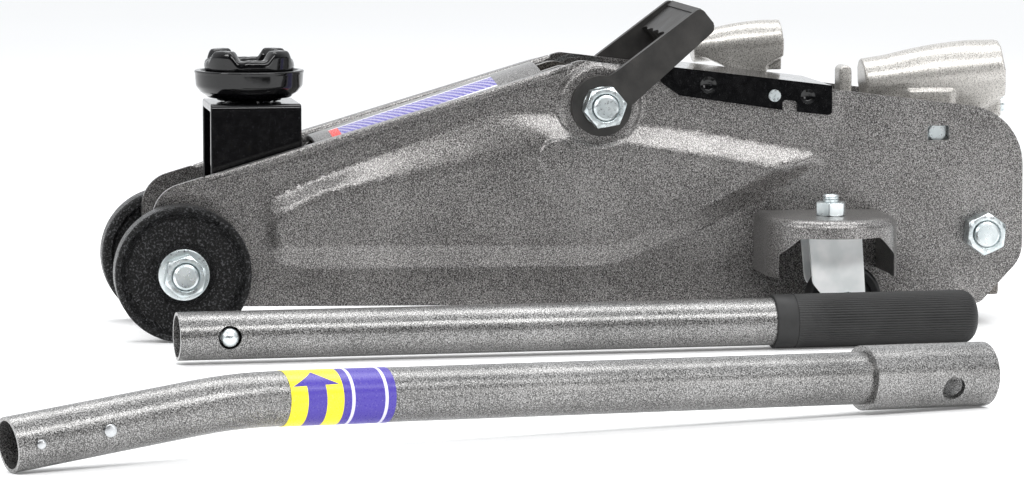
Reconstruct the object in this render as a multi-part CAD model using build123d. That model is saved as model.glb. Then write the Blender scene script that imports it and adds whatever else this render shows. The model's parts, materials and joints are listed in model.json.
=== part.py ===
"""Compact hydraulic trolley jack with a two-piece handle, as separate working pieces.

While the pieces are drawn, X runs from the front axle (X = 0) to the rear, Y = 0 is the middle of the
chassis with the left side at -Y, and Z = 0 is the floor.  At the end everything moves together, so
that the origin is the middle of the bottom of the whole set.  All sizes are in millimetres.
"""
from build123d import *
from math import atan2, cos, degrees, hypot, radians, sin, tan
import os

# ---------------------------------------------------------------- driving sizes
running_gap = 0.05          # radial clearance of every turning pin or shaft
face_gap = 0.3              # side clearance between pieces that move past each other

# front wheels and axle
wheel_radius = 32.0
wheel_width = 17.4
wheel_dish_depth = 5.0
axle_radius = 6.0           # M12 axle, arm shaft and rear bolt
m12_flats = 18.0
m12_nut_height = 10.0
m12_washer_radius = 12.0
washer_thickness = 2.0
bolt_end_length = 2.0       # thread that stands out of a nut

# side plates
plate_gap = 66.0            # between the inner faces
plate_thickness = 3.0
nose_reach = 13.0           # plate in front of the axle
plate_length = 404.6        # axle to the rear edge
top_rise_degrees = 16.6     # slope of the top edge in front of the arm shaft
top_start_height = 72.6     # height of that slope above the axle
peak_x = 190.0
rear_fall_degrees = 7.0     # slope of the top edge behind the peak
plate_bottom_front = 15.0
plate_bottom_rear = 11.0
flange_reach = 6.0          # top flange, turned outwards
flange_thickness = 2.6
flange_start_x = 14.0
flange_end_x = 185.0
bulge_height = 4.0          # pressed stiffening bulge
bulge_taper = 35.0
bulge_corners = (           # x, z and corner radius
    (40.0, 33.0, 11.0),
    (205.0, 32.0, 40.0),
    (245.0, 46.0, 50.0),
    (314.0, 82.5, 2.0),
    (222.0, 99.0, 12.0),
    (150.0, 106.0, 16.0),
    (38.0, 64.0, 9.0),
)
pivot_pad_radius = 20.0
pivot_pad_height = 3.0
button_x = 178.0            # round button pressed in the bulge
button_z = 84.0
button_radius = 9.0
button_height = 1.2
window_x = (358.0, 368.5)   # small window beside the socket's bolt
window_z = (89.5, 96.5)

# lift arm and its parallel link
pivot_x = 199.0
pivot_z = 108.0
arm_droop_degrees = 17.7    # the lowered arm points this far below level
arm_lift_degrees = 68.0     # travel from lowered to raised
arm_length = 171.0          # arm shaft to the saddle pivot
arm_plate_inner = 15.0
arm_plate_thickness = 5.0
arm_half_depth = 12.0
arm_top_height = 22.0       # top of the arm plates above the line of pivots
arm_tube_radius = 10.0
arm_cover_half_width = 29.0
arm_cover_crown = 5.0
arm_cover_thickness = 2.5
arm_cover_rear = 20.0       # from the arm shaft to the cover's rear end, along the arm
arm_cover_short = 38.0      # the cover ends this far before the front pin
arm_cover_lip = 4.0
arm_label_rear = 42.0
link_drop = 22.0            # link pivots below the arm pivots
link_thickness = 4.0
link_eye_radius = 8.0
link_pin_radius = 4.0
link_slack = 0.6            # the front eye is where the closed linkage is opened

# saddle and its post
post_ahead = 20.4           # post's front face ahead of the arm's front pin
post_length = 43.0
post_height = 109.0
post_half_width = 24.0
post_wall = 3.5
post_top_wall = 4.0
post_foot_radius = 12.0
front_pin_radius = 5.0
saddle_rim_radius = 26.3
saddle_rim_height = 124.0
saddle_cup_wall = 3.0
saddle_neck_radius = 10.0
crown_radius = 21.5
crown_inner_radius = 13.0
crown_height = 134.0
crown_notch_width = 17.0
crown_notch_depth = 5.0

# ram, cylinder and pump base
ram_z = 44.0
ram_radius = 7.0
crank_swing_degrees = 34.0  # either side of straight down
crank_half_width = 13.0
crosshead_radius = 5.0
crosshead_half_length = 31.0
slot_side_gap = 1.7
cylinder_front = 261.0
cylinder_rear = 368.0
cylinder_outer = 13.0
cylinder_inner = 10.0
piston_length = 9.0
gland_length = 10.0
reservoir_outer = 20.0
reservoir_wall = 1.5
reservoir_front = 270.0
base_front = 304.0
base_rear = 396.0
base_half_width = 27.0
base_bottom = 14.0
base_top = 60.0
spring_y = 26.0
spring_coil_radius = 3.2
spring_wire_radius = 0.7
spring_turns = 10

# handle socket, pump plunger and release valve
socket_pivot_x = 363.5
socket_pivot_z = 93.0
socket_bolt_radius = 4.0
socket_swing_degrees = 45.0
socket_mouth_x = 401.0
socket_mouth_z = 122.0
socket_bore_radius = 11.3
socket_wall = 2.8
socket_bore_depth = 46.0
socket_tilt_degrees = 5.6
socket_front_radius = 11.5
socket_ear_half_width = 14.0
socket_tab_x = 321.0
socket_tab_thickness = 6.0
socket_tab_top = 124.0
nose_arm = 12.0             # from the socket pivot forward to the nose that presses the plunger
nose_radius = 7.0
plunger_radius = 4.0
plunger_head_radius = 8.5
plunger_head_thickness = 3.0
pump_housing_radius = 6.2
pump_housing_top = 72.0
valve_z = 70.0
valve_radius = 4.0
valve_seat_x = 380.0
filler_x = 318.0
filler_y = 18.5
plug_radius = 4.0
plug_depth = 6.0
plug_head_radius = 6.0
plug_head_height = 3.0

# black cover over the pump
cover_front = 228.0
cover_rear = 311.0
cover_sheet = 1.8
cover_side_sheet = 2.0
cover_side_depth = 12.5
cover_lift = 0.2
cover_pin_places = (283.0,)
cover_pin_radius = 2.0
cover_pin_head_radius = 2.9
cover_pin_head_height = 1.2
cover_pin_drop = 6.0        # pins below the plates' top edge
cover_notch = (287.0, 294.0)
cover_notch_depth = 5.0
cover_holes = ((251.2, 3.9), (299.3, 3.5))      # x and radius
cover_hole_drop = 4.6

# rear bolt and swivel wheels
rear_bolt_x = 385.0
rear_bolt_z = 45.0
caster_x = 304.5
caster_offset = 32.0        # swivel axis outside the side plates
caster_cap_radius = 31.0
caster_cap_top = 57.0
caster_skirt_bottom = 29.0
caster_sheet = 2.5
caster_trail = 6.0
caster_wheel_radius = 17.5
caster_wheel_width = 14.0
caster_axle_radius = 3.0
king_bolt_radius = 4.0      # M8
m8_flats = 13.0
m8_nut_height = 6.5
fork_sheet = 2.5
fork_top = 52.0
fork_inner = 8.6            # from the middle of the wheel to each fork leg

# carry handle
carry_arm_thickness = 5.0
carry_eye_radius = 14.3
carry_length = 66.0
carry_rest_degrees = 39.0
carry_arm_depth = 17.0
carry_end_depth = 13.0
carry_bar_length = 20.0
carry_bar_wall = 3.5

# two-piece pump handle, lying on the floor beside the jack
tube_radius = 11.0
tube_wall = 1.5
upper_length = 366.0
upper_heading_degrees = 5.0
upper_left_x = -10.0
upper_left_y = -141.0
grip_radius = 12.6
grip_length = 98.0
grip_bore_overlap = 88.0    # tube inside the grip
button_hole_radius = 5.3
button_ball_radius = 4.3
button_from_end = 22.5
button_travel = 3.0
lower_left_x = -102.0
lower_left_y = -490.0
lower_heading_degrees = 20.0
lower_bend_degrees = 8.4
lower_bend_radius = 240.0
lower_bent_length = 97.0
lower_straight_length = 308.0
sleeve_radius = 13.6
sleeve_length = 60.0
sleeve_overhang = 40.0      # sleeve that stands past the tube's end
sleeve_bore_clearance = 0.25
label_thickness = 0.15
label_start = 19.0          # printed band, measured from the bend
label_end = 65.0

# stowage cup for the handle, on the right side plate
cup_scale = 0.66
cup_mouth_x = 304.0
cup_mouth_z = 134.0
cup_offset = 21.0           # cup's axis outside the right plate
cup_foot_x = 276.0
cup_foot_z = (92.0, 101.5)
cup_foot_length = 20.0

# ---------------------------------------------------------------- derived places
plate_inner = plate_gap / 2
plate_outer = plate_inner + plate_thickness
pad_face = plate_outer + pivot_pad_height
bore_m12 = axle_radius + running_gap
axle_z = wheel_radius
wheel_inner = plate_outer + washer_thickness + 0.4
wheel_outer = wheel_inner + wheel_width
caster_y = plate_outer + caster_offset
cup_y = plate_outer + cup_offset
carry_inner = pad_face + face_gap
carry_outer = carry_inner + carry_arm_thickness
arm_plate_outer = arm_plate_inner + arm_plate_thickness
crank_depth = pivot_z - ram_z
crank_swing = radians(crank_swing_degrees)
# The pin follows the crank at a constant rate; this rate shares the error between middle and ends.
ram_rate = (crank_depth * (tan(crank_swing) + tan(0.57 * crank_swing))) / (1.57 * crank_swing)
crosshead_x = pivot_x + ram_rate * crank_swing
ram_stroke = ram_rate * radians(arm_lift_degrees)
slot_half_width = crosshead_radius + slot_side_gap
slot_near = crank_depth
slot_far = hypot(crank_depth, crosshead_x - pivot_x) + 1.5
droop = radians(arm_droop_degrees)
front_pin_x = pivot_x - arm_length * cos(droop)
front_pin_z = pivot_z - arm_length * sin(droop)
saddle_x = front_pin_x
post_front = front_pin_x - post_ahead
arm_cover_front = arm_length - arm_cover_short
arm_cover_height = arm_top_height + 4.0
link_rear = (pivot_x, pivot_z - link_drop)
link_front = (front_pin_x, front_pin_z - link_drop)
link_inner = post_half_width + 2 * face_gap + 2.0
link_outer = link_inner + link_thickness
nose_z = socket_pivot_z + 1.0
plunger_x = socket_pivot_x - nose_arm + 1.0
plunger_top = nose_z - nose_radius - 0.2
plunger_stroke = nose_arm * radians(socket_swing_degrees)
plunger_bottom = ram_z + cylinder_outer + 1.3 + plunger_stroke

LEFT = -1
SIDES = {"left": LEFT, "right": -LEFT}
BOTTOM = (Align.CENTER, Align.CENTER, Align.MIN)


def top_front(x):
    """Height of the plates' top edge in front of the peak."""
    return top_start_height + x * tan(radians(top_rise_degrees))


def top_rear(x):
    """Height of the plates' top edge behind the peak."""
    return top_front(peak_x) - (x - peak_x) * tan(radians(rear_fall_degrees))


# ---------------------------------------------------------------- shape helpers
def rod(start, end, radius):
    """Round bar between two points."""
    run = Vector(*end) - Vector(*start)
    return Plane(origin=start, z_dir=run) * Cylinder(radius, run.length, align=BOTTOM)


def taper(start, end, start_radius, end_radius):
    """Round bar that changes radius along its length."""
    run = Vector(*end) - Vector(*start)
    return Plane(origin=start, z_dir=run) * Cone(start_radius, end_radius, run.length, align=BOTTOM)


def tube(start, end, outer, inner):
    """Round tube between two points."""
    return rod(start, end, outer) - rod(start, end, inner)


def cross_rod(x, z, y_from, y_to, radius):
    """Round bar along Y."""
    low, high = sorted((y_from, y_to))
    return rod((x, low, z), (x, high, z), radius)


def hexagon(start, end, flats, bore=0.0):
    """Hexagonal nut or bolt head between two points."""
    run = Vector(*end) - Vector(*start)
    prism = extrude(RegularPolygon(flats / 2, 6, major_radius=False), run.length)
    body = Plane(origin=start, z_dir=run) * prism
    return body - rod(start, end, bore) if bore else body


def block(x, y, z):
    """Rectangular block from three (low, high) pairs."""
    corner = (Align.MIN, Align.MIN, Align.MIN)
    return Pos(x[0], y[0], z[0]) * Box(x[1] - x[0], y[1] - y[0], z[1] - z[0], align=corner)


def outline(*corners):
    """Closed face from (x, z, corner radius) values."""
    points = [(x, z) for x, z, _ in corners]
    return make_face(FilletPolyline(*points, radius=[r for _, _, r in corners], close=True).edges())


def slab(face, y_from, y_to, draft=0.0):
    """Extrude a face drawn in X and Z from one Y plane to another."""
    outward = 1.0 if y_to > y_from else -1.0
    plane = Plane(origin=(0, y_from, 0), x_dir=(1, 0, 0), z_dir=(0, -1, 0))
    depth = abs(y_to - y_from)
    if outward < 0:
        return plane * extrude(face, depth, taper=draft)
    return mirror(slab(face, -y_from, -y_to, draft), about=Plane.XZ)


def other_side(shape):
    """Mirror image on the right side of the jack."""
    return mirror(shape, about=Plane.XZ)


def on_side(shape, side):
    return shape if side == LEFT else other_side(shape)


def arm_point(along, above):
    """Point in X and Z given along the lowered arm and square to it."""
    x = pivot_x - along * cos(droop) - above * sin(droop)
    z = pivot_z - along * sin(droop) + above * cos(droop)
    return x, z


# ---------------------------------------------------------------- chassis
def side_plate():
    """Left side plate: pressed sheet with a top flange, a long bulge and a raised pivot pad."""
    sheet = outline(
        (-nose_reach, plate_bottom_front, 13.0),
        (-nose_reach, top_front(-nose_reach), 29.0),
        (peak_x, top_front(peak_x), 12.0),
        (plate_length, top_rear(plate_length), 29.0),
        (plate_length, 33.0, 16.0),
        (384.0, plate_bottom_rear, 5.0),
    )
    plate = slab(sheet, -plate_inner, -plate_outer)
    start, end = top_front(flange_start_x), top_front(flange_end_x)
    strip = outline(
        (flange_start_x, start - flange_thickness, 0.0),
        (flange_end_x, end - flange_thickness, 0.0),
        (flange_end_x, end, 0.0),
        (flange_start_x, start, 0.0),
    )
    plate += slab(strip, -plate_inner, -plate_outer - flange_reach)
    bulge = outline(*bulge_corners)
    clear_of_pad = Pos(pivot_x, pivot_z) * Circle(pivot_pad_radius + 1.5)
    bulge -= clear_of_pad
    plate += slab(bulge, -plate_outer, -plate_outer - bulge_height, bulge_taper)
    plate -= slab(bulge, -plate_inner, -plate_inner - bulge_height, bulge_taper)
    plate += cross_rod(pivot_x, pivot_z, -plate_outer, -pad_face, pivot_pad_radius)
    button_face = -plate_outer - bulge_height
    plate += cross_rod(button_x, button_z, button_face, button_face - button_height, button_radius)
    for x, z in ((0.0, axle_z), (pivot_x, pivot_z), (rear_bolt_x, rear_bolt_z)):
        plate -= cross_rod(x, z, -plate_inner, -pad_face, axle_radius)
    plate -= block(window_x, (-plate_outer, -plate_inner), window_z)
    for x in cover_pin_places:
        plate -= cross_rod(x, top_rear(x) - cover_pin_drop, -plate_inner, -plate_outer, cover_pin_radius)
    return plate


def cover_plate():
    """Black pressed cover: a roof over both side plates with a flange down each outer face."""
    def roof(y):
        front, rear = top_rear(cover_front) + cover_lift, top_rear(cover_rear) + cover_lift
        profile = outline(
            (cover_front, front, 0.0),
            (cover_rear, rear, 0.0),
            (cover_rear, rear + cover_sheet, 0.0),
            (cover_front, front + cover_sheet, 0.0),
        )
        return slab(profile, y, -y)

    front, rear = top_rear(cover_front) + cover_lift, top_rear(cover_rear) + cover_lift
    side_outer = plate_outer + cover_side_sheet
    flange = outline(
        (cover_front, front + cover_sheet, 0.0),
        (cover_front, front - 6.0, 3.0),
        (cover_front + 9.0, front - cover_side_depth, 3.0),
        (cover_notch[0], top_rear(cover_notch[0]) - cover_side_depth, 0.0),
        (cover_notch[0], top_rear(cover_notch[0]) - cover_side_depth + cover_notch_depth, 1.5),
        (cover_notch[1], top_rear(cover_notch[1]) - cover_side_depth + cover_notch_depth, 1.5),
        (cover_notch[1], top_rear(cover_notch[1]) - cover_side_depth, 0.0),
        (cover_rear, rear - cover_side_depth, 2.0),
        (cover_rear, rear + cover_sheet, 0.0),
    )
    for x, radius in cover_holes:
        flange -= Pos(x, top_rear(x) - cover_hole_drop) * Circle(radius)
    for x in cover_pin_places:
        flange -= Pos(x, top_rear(x) - cover_pin_drop) * Circle(cover_pin_radius)
    cover = roof(side_outer)
    for side in SIDES.values():
        cover += on_side(slab(flange, -plate_outer, -side_outer), side)
    return cover


def cover_pins():
    """Riveted pins that hold the cover's flanges to the side plates."""
    side_outer = plate_outer + cover_side_sheet
    pins = []
    for side in SIDES.values():
        for x in cover_pin_places:
            z = top_rear(x) - cover_pin_drop
            pin = cross_rod(x, z, -plate_inner, -side_outer, cover_pin_radius)
            pin += cross_rod(x, z, -side_outer, -side_outer - cover_pin_head_height, cover_pin_head_radius)
            pins.append(on_side(pin, side))
    return Compound(pins)


def m12_pair(x, z, seat, flats=m12_flats):
    """Two nuts facing each other on a shaft along Y, seated at +-seat."""
    left = hexagon((x, -seat, z), (x, -seat - m12_nut_height, z), flats, axle_radius)
    left = left & cross_rod(x, z, -seat, -seat - m12_nut_height, flats / 2 * 1.1)
    return [left, other_side(left)]


def m12_nuts():
    """Nuts of the front axle, of the arm shaft and of the rear bolt."""
    nuts = m12_pair(0.0, axle_z, wheel_outer + 0.3 + washer_thickness)
    nuts += m12_pair(pivot_x, pivot_z, carry_outer + face_gap + washer_thickness)
    nuts += m12_pair(rear_bolt_x, rear_bolt_z, plate_outer)
    return Compound(nuts)


def washers():
    """Washers outside the front wheels, between wheels and plates, and under the arm shaft's nuts."""
    rings = []
    places = (
        (0.0, axle_z, wheel_outer + 0.3),
        (0.0, axle_z, plate_outer),
        (pivot_x, pivot_z, carry_outer + face_gap),
    )
    for x, z, seat in places:
        ring = cross_rod(x, z, -seat, -seat - washer_thickness, m12_washer_radius)
        ring -= cross_rod(x, z, -seat, -seat - washer_thickness, axle_radius)
        rings += [ring, other_side(ring)]
    return Compound(rings)


def through_shaft(x, z, seat):
    """Shaft with threaded ends that stand a little out of nuts seated at +-seat."""
    half = seat + m12_nut_height + bolt_end_length
    shaft = cross_rod(x, z, -half, half, axle_radius)
    return chamfer(shaft.edges().filter_by(GeomType.CIRCLE), 0.8)


def pump_base():
    """Cast base at the rear: carries the cylinder, the pump, the valve and the socket's two lugs."""
    base = block((base_front, base_rear), (-base_half_width, base_half_width), (base_bottom, base_top))
    base += block((376.0, base_rear), (-base_half_width, base_half_width), (base_top, 80.0))
    vertical = base.edges().filter_by(Axis.Z)
    base = fillet(vertical, 3.0)
    lug_face = outline(
        (350.0, base_top - 2.0, 0.0),
        (392.0, base_top - 2.0, 0.0),
        (377.0, 104.0, 8.0),
        (352.0, 104.0, 8.0),
    )
    for side in SIDES.values():
        lug = slab(lug_face, -socket_ear_half_width - 1.0, -base_half_width + 2.0)
        base += on_side(lug, side)
    base -= rod((cylinder_front, 0, ram_z), (cylinder_rear, 0, ram_z), cylinder_outer)
    base -= rod((plunger_x, 0, ram_z), (plunger_x, 0, base_top), pump_housing_radius)
    base -= cross_rod(rear_bolt_x, rear_bolt_z, -40, 40, axle_radius)
    base -= cross_rod(socket_pivot_x, socket_pivot_z, -40, 40, socket_bolt_radius)
    base -= rod((valve_seat_x, 0, valve_z), (base_rear, 0, valve_z), valve_radius + running_gap)
    base -= rod((filler_x, filler_y, base_top - plug_depth), (filler_x, filler_y, base_top), plug_radius)
    for y in (-spring_y, spring_y):
        base -= block((base_front, base_front + 8.0), (y - 4.5, y + 4.5), (ram_z - 6.0, ram_z + 6.0))
        base += rod((base_front + 4.0, y, ram_z - 7.0), (base_front + 4.0, y, ram_z + 7.0), 1.5)
    return base



def ram_cylinder():
    """Cylinder: open at the front, closed by its own end at the rear."""
    body = rod((cylinder_front, 0, ram_z), (cylinder_rear, 0, ram_z), cylinder_outer)
    return body - rod((cylinder_front, 0, ram_z), (cylinder_rear - 6.0, 0, ram_z), cylinder_inner)


def gland_nut():
    """Screwed-in gland at the cylinder's mouth, with the bore that guides the ram."""
    front = cylinder_front - 4.0
    nut = hexagon((front, 0, ram_z), (cylinder_front, 0, ram_z), 26.0)
    nut += rod((cylinder_front, 0, ram_z), (front + gland_length, 0, ram_z), cylinder_inner)
    return nut - rod((front, 0, ram_z), (front + gland_length, 0, ram_z), ram_radius + running_gap)


def reservoir_tube():
    """Oil reservoir round the cylinder, closed by a ring at its front."""
    body = tube((reservoir_front, 0, ram_z), (base_front, 0, ram_z), reservoir_outer,
                reservoir_outer - reservoir_wall)
    return body + tube((reservoir_front, 0, ram_z), (reservoir_front + 2.0, 0, ram_z),
                       reservoir_outer, cylinder_outer)


def base_plug():
    """Oil filler plug."""
    plug = rod((filler_x, filler_y, base_top - plug_depth), (filler_x, filler_y, base_top), plug_radius)
    plug += rod((filler_x, filler_y, base_top), (filler_x, filler_y, base_top + plug_head_height),
                plug_head_radius)
    slot = block((filler_x - 5.0, filler_x + 5.0), (filler_y - 0.6, filler_y + 0.6),
                 (base_top + plug_head_height - 1.2, base_top + plug_head_height))
    return plug - slot


def pump_housing():
    """Pump barrel screwed into the base, over the cylinder."""
    foot = ram_z + cylinder_outer + 0.2
    body = rod((plunger_x, 0, foot), (plunger_x, 0, pump_housing_top), pump_housing_radius)
    return body - rod((plunger_x, 0, foot + 0.8), (plunger_x, 0, pump_housing_top),
                      plunger_radius + running_gap)


def socket_pivot_bolt():
    """Bolt through the lugs and the socket, with its nut."""
    half = base_half_width - 2.0
    bolt = cross_rod(socket_pivot_x, socket_pivot_z, -half - 7.0, half + 7.0, socket_bolt_radius)
    for start, end in ((-half, -half - 5.0), (half, half + 6.5)):
        bolt += hexagon((socket_pivot_x, start, socket_pivot_z), (socket_pivot_x, end, socket_pivot_z), 13.0)
    return bolt


def caster_bracket():
    """Left bracket: a round pressed cap with an arch cut in its outer side, welded to the plate."""
    def cap(radius, low, high):
        round_part = Cylinder(radius, high - low, align=BOTTOM)
        straight = block((-radius, radius), (0.0, caster_y - plate_outer), (0.0, high - low))
        return Pos(caster_x, -caster_y, low) * (round_part + straight)

    shell = cap(caster_cap_radius, caster_skirt_bottom, caster_cap_top)
    rim = [edge for edge in shell.edges().filter_by_position(Axis.Z, caster_cap_top, caster_cap_top)
           if edge.center().Y < -plate_outer - 0.5]
    shell = fillet(rim, 4.5)
    shell -= cap(caster_cap_radius - caster_sheet, caster_skirt_bottom, caster_cap_top - caster_sheet)
    arch = outline(
        (caster_x - 27.5, caster_skirt_bottom - 1.0, 0.0),
        (caster_x - 27.5, 40.0, 2.0),
        (caster_x - 19.0, 48.5, 3.0),
        (caster_x + 19.0, 48.5, 3.0),
        (caster_x + 27.5, 40.0, 2.0),
        (caster_x + 27.5, caster_skirt_bottom - 1.0, 0.0),
    )
    shell -= slab(arch, -caster_y - 6.0, -caster_y - caster_cap_radius - 1.0)
    hole = rod((caster_x, -caster_y, 40.0), (caster_x, -caster_y, 60.0), king_bolt_radius)
    return shell - hole


def king_bolt():
    """Left swivel bolt: head under the fork, shank up through fork and cap."""
    head_top = fork_top - fork_sheet - face_gap
    bolt = rod((caster_x, -caster_y, head_top),
               (caster_x, -caster_y, caster_cap_top + m8_nut_height + 3.5), king_bolt_radius)
    return bolt + hexagon((caster_x, -caster_y, head_top - 5.0), (caster_x, -caster_y, head_top), m8_flats)


def king_nut():
    low = (caster_x, -caster_y, caster_cap_top)
    return hexagon(low, (caster_x, -caster_y, caster_cap_top + m8_nut_height), m8_flats, king_bolt_radius)


def caster_fork():
    """Left fork: folded sheet with a raised race under the cap and two legs down to the wheel."""
    leg_face = outline(
        (caster_x - 13.0, fork_top, 0.0),
        (caster_x + 12.5, fork_top, 0.0),
        (caster_x + 14.5, 21.0, 4.0),
        (caster_x + caster_trail + 4.0, 10.5, 4.0),
        (caster_x + caster_trail - 4.0, 10.5, 4.0),
        (caster_x - 10.5, 26.0, 6.0),
    )
    fork = Part()
    for side in (-1, 1):
        near, far = -caster_y + side * fork_inner, -caster_y + side * (fork_inner + fork_sheet)
        fork += slab(leg_face, near, far)
    fork += block((caster_x - 13.0, caster_x + 12.5),
                  (-caster_y - fork_inner - fork_sheet, -caster_y + fork_inner + fork_sheet),
                  (fork_top - fork_sheet, fork_top))
    race_top = caster_cap_top - caster_sheet - face_gap
    fork += rod((caster_x, -caster_y, fork_top), (caster_x, -caster_y, race_top), 10.0)
    fork -= rod((caster_x, -caster_y, fork_top - 5.0), (caster_x, -caster_y, race_top),
                king_bolt_radius + running_gap)
    return fork - cross_rod(caster_x + caster_trail, caster_wheel_radius, -caster_y - 20.0,
                            -caster_y + 20.0, caster_axle_radius)


def caster_axle():
    """Left swivel wheel's axle, riveted in the fork."""
    half = fork_inner + fork_sheet + 1.5
    axle = cross_rod(caster_x + caster_trail, caster_wheel_radius, -caster_y - half,
                     -caster_y + half, caster_axle_radius)
    for side in (-1, 1):
        seat = -caster_y + side * (fork_inner + fork_sheet)
        axle += cross_rod(caster_x + caster_trail, caster_wheel_radius, seat, seat + side * 1.5, 4.5)
    return axle


def caster_wheel():
    """Left swivel wheel."""
    x, half = caster_x + caster_trail, caster_wheel_width / 2
    wheel = cross_rod(x, caster_wheel_radius, -caster_y - half, -caster_y + half, caster_wheel_radius)
    wheel = fillet(wheel.edges().filter_by(GeomType.CIRCLE), 2.0)
    for side in (-1, 1):
        face = -caster_y + side * half
        groove = cross_rod(x, caster_wheel_radius, face, face - side * 1.5, 13.0)
        wheel -= groove - cross_rod(x, caster_wheel_radius, face, face - side * 1.5, 7.0)
        wheel += cross_rod(x, caster_wheel_radius, face, face + side * 1.0, 6.0)
    return wheel - cross_rod(x, caster_wheel_radius, -caster_y - 10.0, -caster_y + 10.0,
                             caster_axle_radius + running_gap)


def front_wheel():
    """Left front wheel: cast iron with a dished outer face and a hub."""
    wheel = cross_rod(0.0, axle_z, -wheel_inner, -wheel_outer, wheel_radius)
    wheel = fillet(wheel.edges().filter_by(GeomType.CIRCLE), 2.0)
    dish = taper((0.0, -wheel_outer, axle_z), (0.0, -wheel_outer + wheel_dish_depth, axle_z), 28.3, 25.5)
    dish -= taper((0.0, -wheel_outer, axle_z), (0.0, -wheel_outer + wheel_dish_depth, axle_z), 12.5, 15.0)
    wheel -= dish
    inner_dish = cross_rod(0.0, axle_z, -wheel_inner, -wheel_inner - wheel_dish_depth, 27.0)
    wheel -= inner_dish - cross_rod(0.0, axle_z, -wheel_inner, -wheel_inner - wheel_dish_depth, 13.0)
    return wheel - cross_rod(0.0, axle_z, -wheel_inner, -wheel_outer, bore_m12)


# ---------------------------------------------------------------- lift arm
def arm_plate():
    """Left plate of the bell crank: a long arm to the saddle and a slotted crank to the ram."""
    def corner(along, above, radius):
        x, z = arm_point(along, above)
        return x, z, radius

    long_arm = outline(
        corner(arm_length + arm_half_depth, -arm_half_depth, 11.0),
        corner(arm_length + arm_half_depth, arm_half_depth, 11.0),
        corner(arm_length - 25.0, arm_half_depth + 1.0, 8.0),
        corner(arm_cover_front - 1.0, arm_top_height, 6.0),
        corner(8.0, arm_top_height, 12.0),
        corner(-16.0, 4.0, 12.0),
        corner(-16.0, -18.0, 10.0),
        corner(60.0, -arm_half_depth, 20.0),
    )
    reach = slot_far + slot_half_width + 5.0
    crank = Rectangle(2 * crank_half_width, reach, align=(Align.CENTER, Align.MAX))
    crank = fillet(crank.vertices().sort_by(Axis.Y)[:2], crank_half_width - 1.0)
    slot = Pos(0, -(slot_near + slot_far) / 2) * Rotation(0, 0, 90) * SlotCenterToCenter(
        slot_far - slot_near, 2 * slot_half_width)
    turn = Pos(pivot_x, pivot_z) * Rotation(0, 0, crank_swing_degrees)
    face = long_arm + turn * crank - turn * slot
    face -= Pos(pivot_x, pivot_z) * Circle(arm_tube_radius)
    face -= Pos(front_pin_x, front_pin_z) * Circle(front_pin_radius)
    plate = slab(face, -arm_plate_inner, -arm_plate_outer)
    return plate - arm_cover()


def arm_section_plane(along):
    """Plane square to the lowered arm, with X to the left and Y away from the line of pivots."""
    x, z = arm_point(along, 0.0)
    return Plane(origin=(x, 0, z), x_dir=(0, -1, 0), z_dir=(-cos(droop), 0, -sin(droop)))


def crowned_strip(half_width, height, crown, thickness, lip):
    """Cross-section of a crowned sheet with a short lip at each side."""
    edge = height - crown
    outer = ThreePointArc((-half_width, edge), (0, height), (half_width, edge))
    inner_edge = edge - thickness
    inner_half = half_width - thickness
    inner = ThreePointArc((inner_half, inner_edge + 0.8), (0, height - thickness),
                          (-inner_half, inner_edge + 0.8))
    right_lip = Polyline((half_width, edge), (half_width, edge - lip), (inner_half, edge - lip),
                         (inner_half, inner_edge + 0.8))
    left_lip = Polyline((-inner_half, inner_edge + 0.8), (-inner_half, edge - lip),
                        (-half_width, edge - lip), (-half_width, edge))
    return make_face(outer.edges() + right_lip.edges() + inner.edges() + left_lip.edges())


def arm_cover():
    """Crowned sheet welded on top of the two arm plates."""
    section = crowned_strip(arm_cover_half_width, arm_cover_height, arm_cover_crown,
                            arm_cover_thickness, arm_cover_lip)
    return arm_section_plane(arm_cover_rear) * extrude(section, arm_cover_front - arm_cover_rear)


def arm_label():
    """Decorative strip stuck along the near side of the arm's cover."""
    radius = (arm_cover_half_width ** 2 + arm_cover_crown ** 2) / (2 * arm_cover_crown)
    centre = arm_cover_height - radius
    ring = Pos(0, centre) * (Circle(radius + label_thickness) - Circle(radius))
    window = Pos(-15.0, arm_cover_height - 4.0) * Rectangle(18.0, 12.0)
    window = Pos(30.0, 0) * window
    return arm_section_plane(arm_label_rear) * extrude(ring & window, arm_cover_front - 9.0 - arm_label_rear)


def arm_pivot_tube():
    """Pivot tube of the arm; it stops short on the right, where the raised link passes the shaft."""
    left, right = -plate_inner + face_gap, link_inner - face_gap
    return tube((pivot_x, left, pivot_z), (pivot_x, right, pivot_z), arm_tube_radius, bore_m12)


def front_pin():
    """Pin at the front of the arm that carries the saddle post."""
    half = post_half_width + 1.0
    return cross_rod(front_pin_x, front_pin_z, -half, half, front_pin_radius)


# ---------------------------------------------------------------- saddle, post and link
def saddle_post():
    """Folded channel: a roof that carries the saddle and two legs that hang outside the arm."""
    rear = post_front + post_length
    leg = outline(
        (post_front, post_height, 0.0),
        (rear, post_height, 0.0),
        (rear, front_pin_z - 6.0, 8.0),
        (front_pin_x + 11.0, link_front[1] - 9.0, 8.0),
        (front_pin_x - 9.0, link_front[1] - 9.0, 7.0),
        (post_front, front_pin_z - 4.0, 6.0),
    )
    post = Part()
    for side in SIDES.values():
        post += on_side(slab(leg, -post_half_width + post_wall, -post_half_width), side)
    post += block((post_front, rear), (-post_half_width, post_half_width),
                  (post_height - post_top_wall, post_height))
    post -= rod((saddle_x, 0, post_height - 10.0), (saddle_x, 0, post_height),
                saddle_neck_radius + running_gap)
    post -= cross_rod(front_pin_x, front_pin_z, -40, 40, front_pin_radius + running_gap)
    post -= cross_rod(link_front[0], link_front[1], 0, 40, link_pin_radius)
    ridge = post.edges().filter_by(Axis.X).filter_by_position(Axis.Z, post_height, post_height)
    return fillet(ridge, 2.5)


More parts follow.
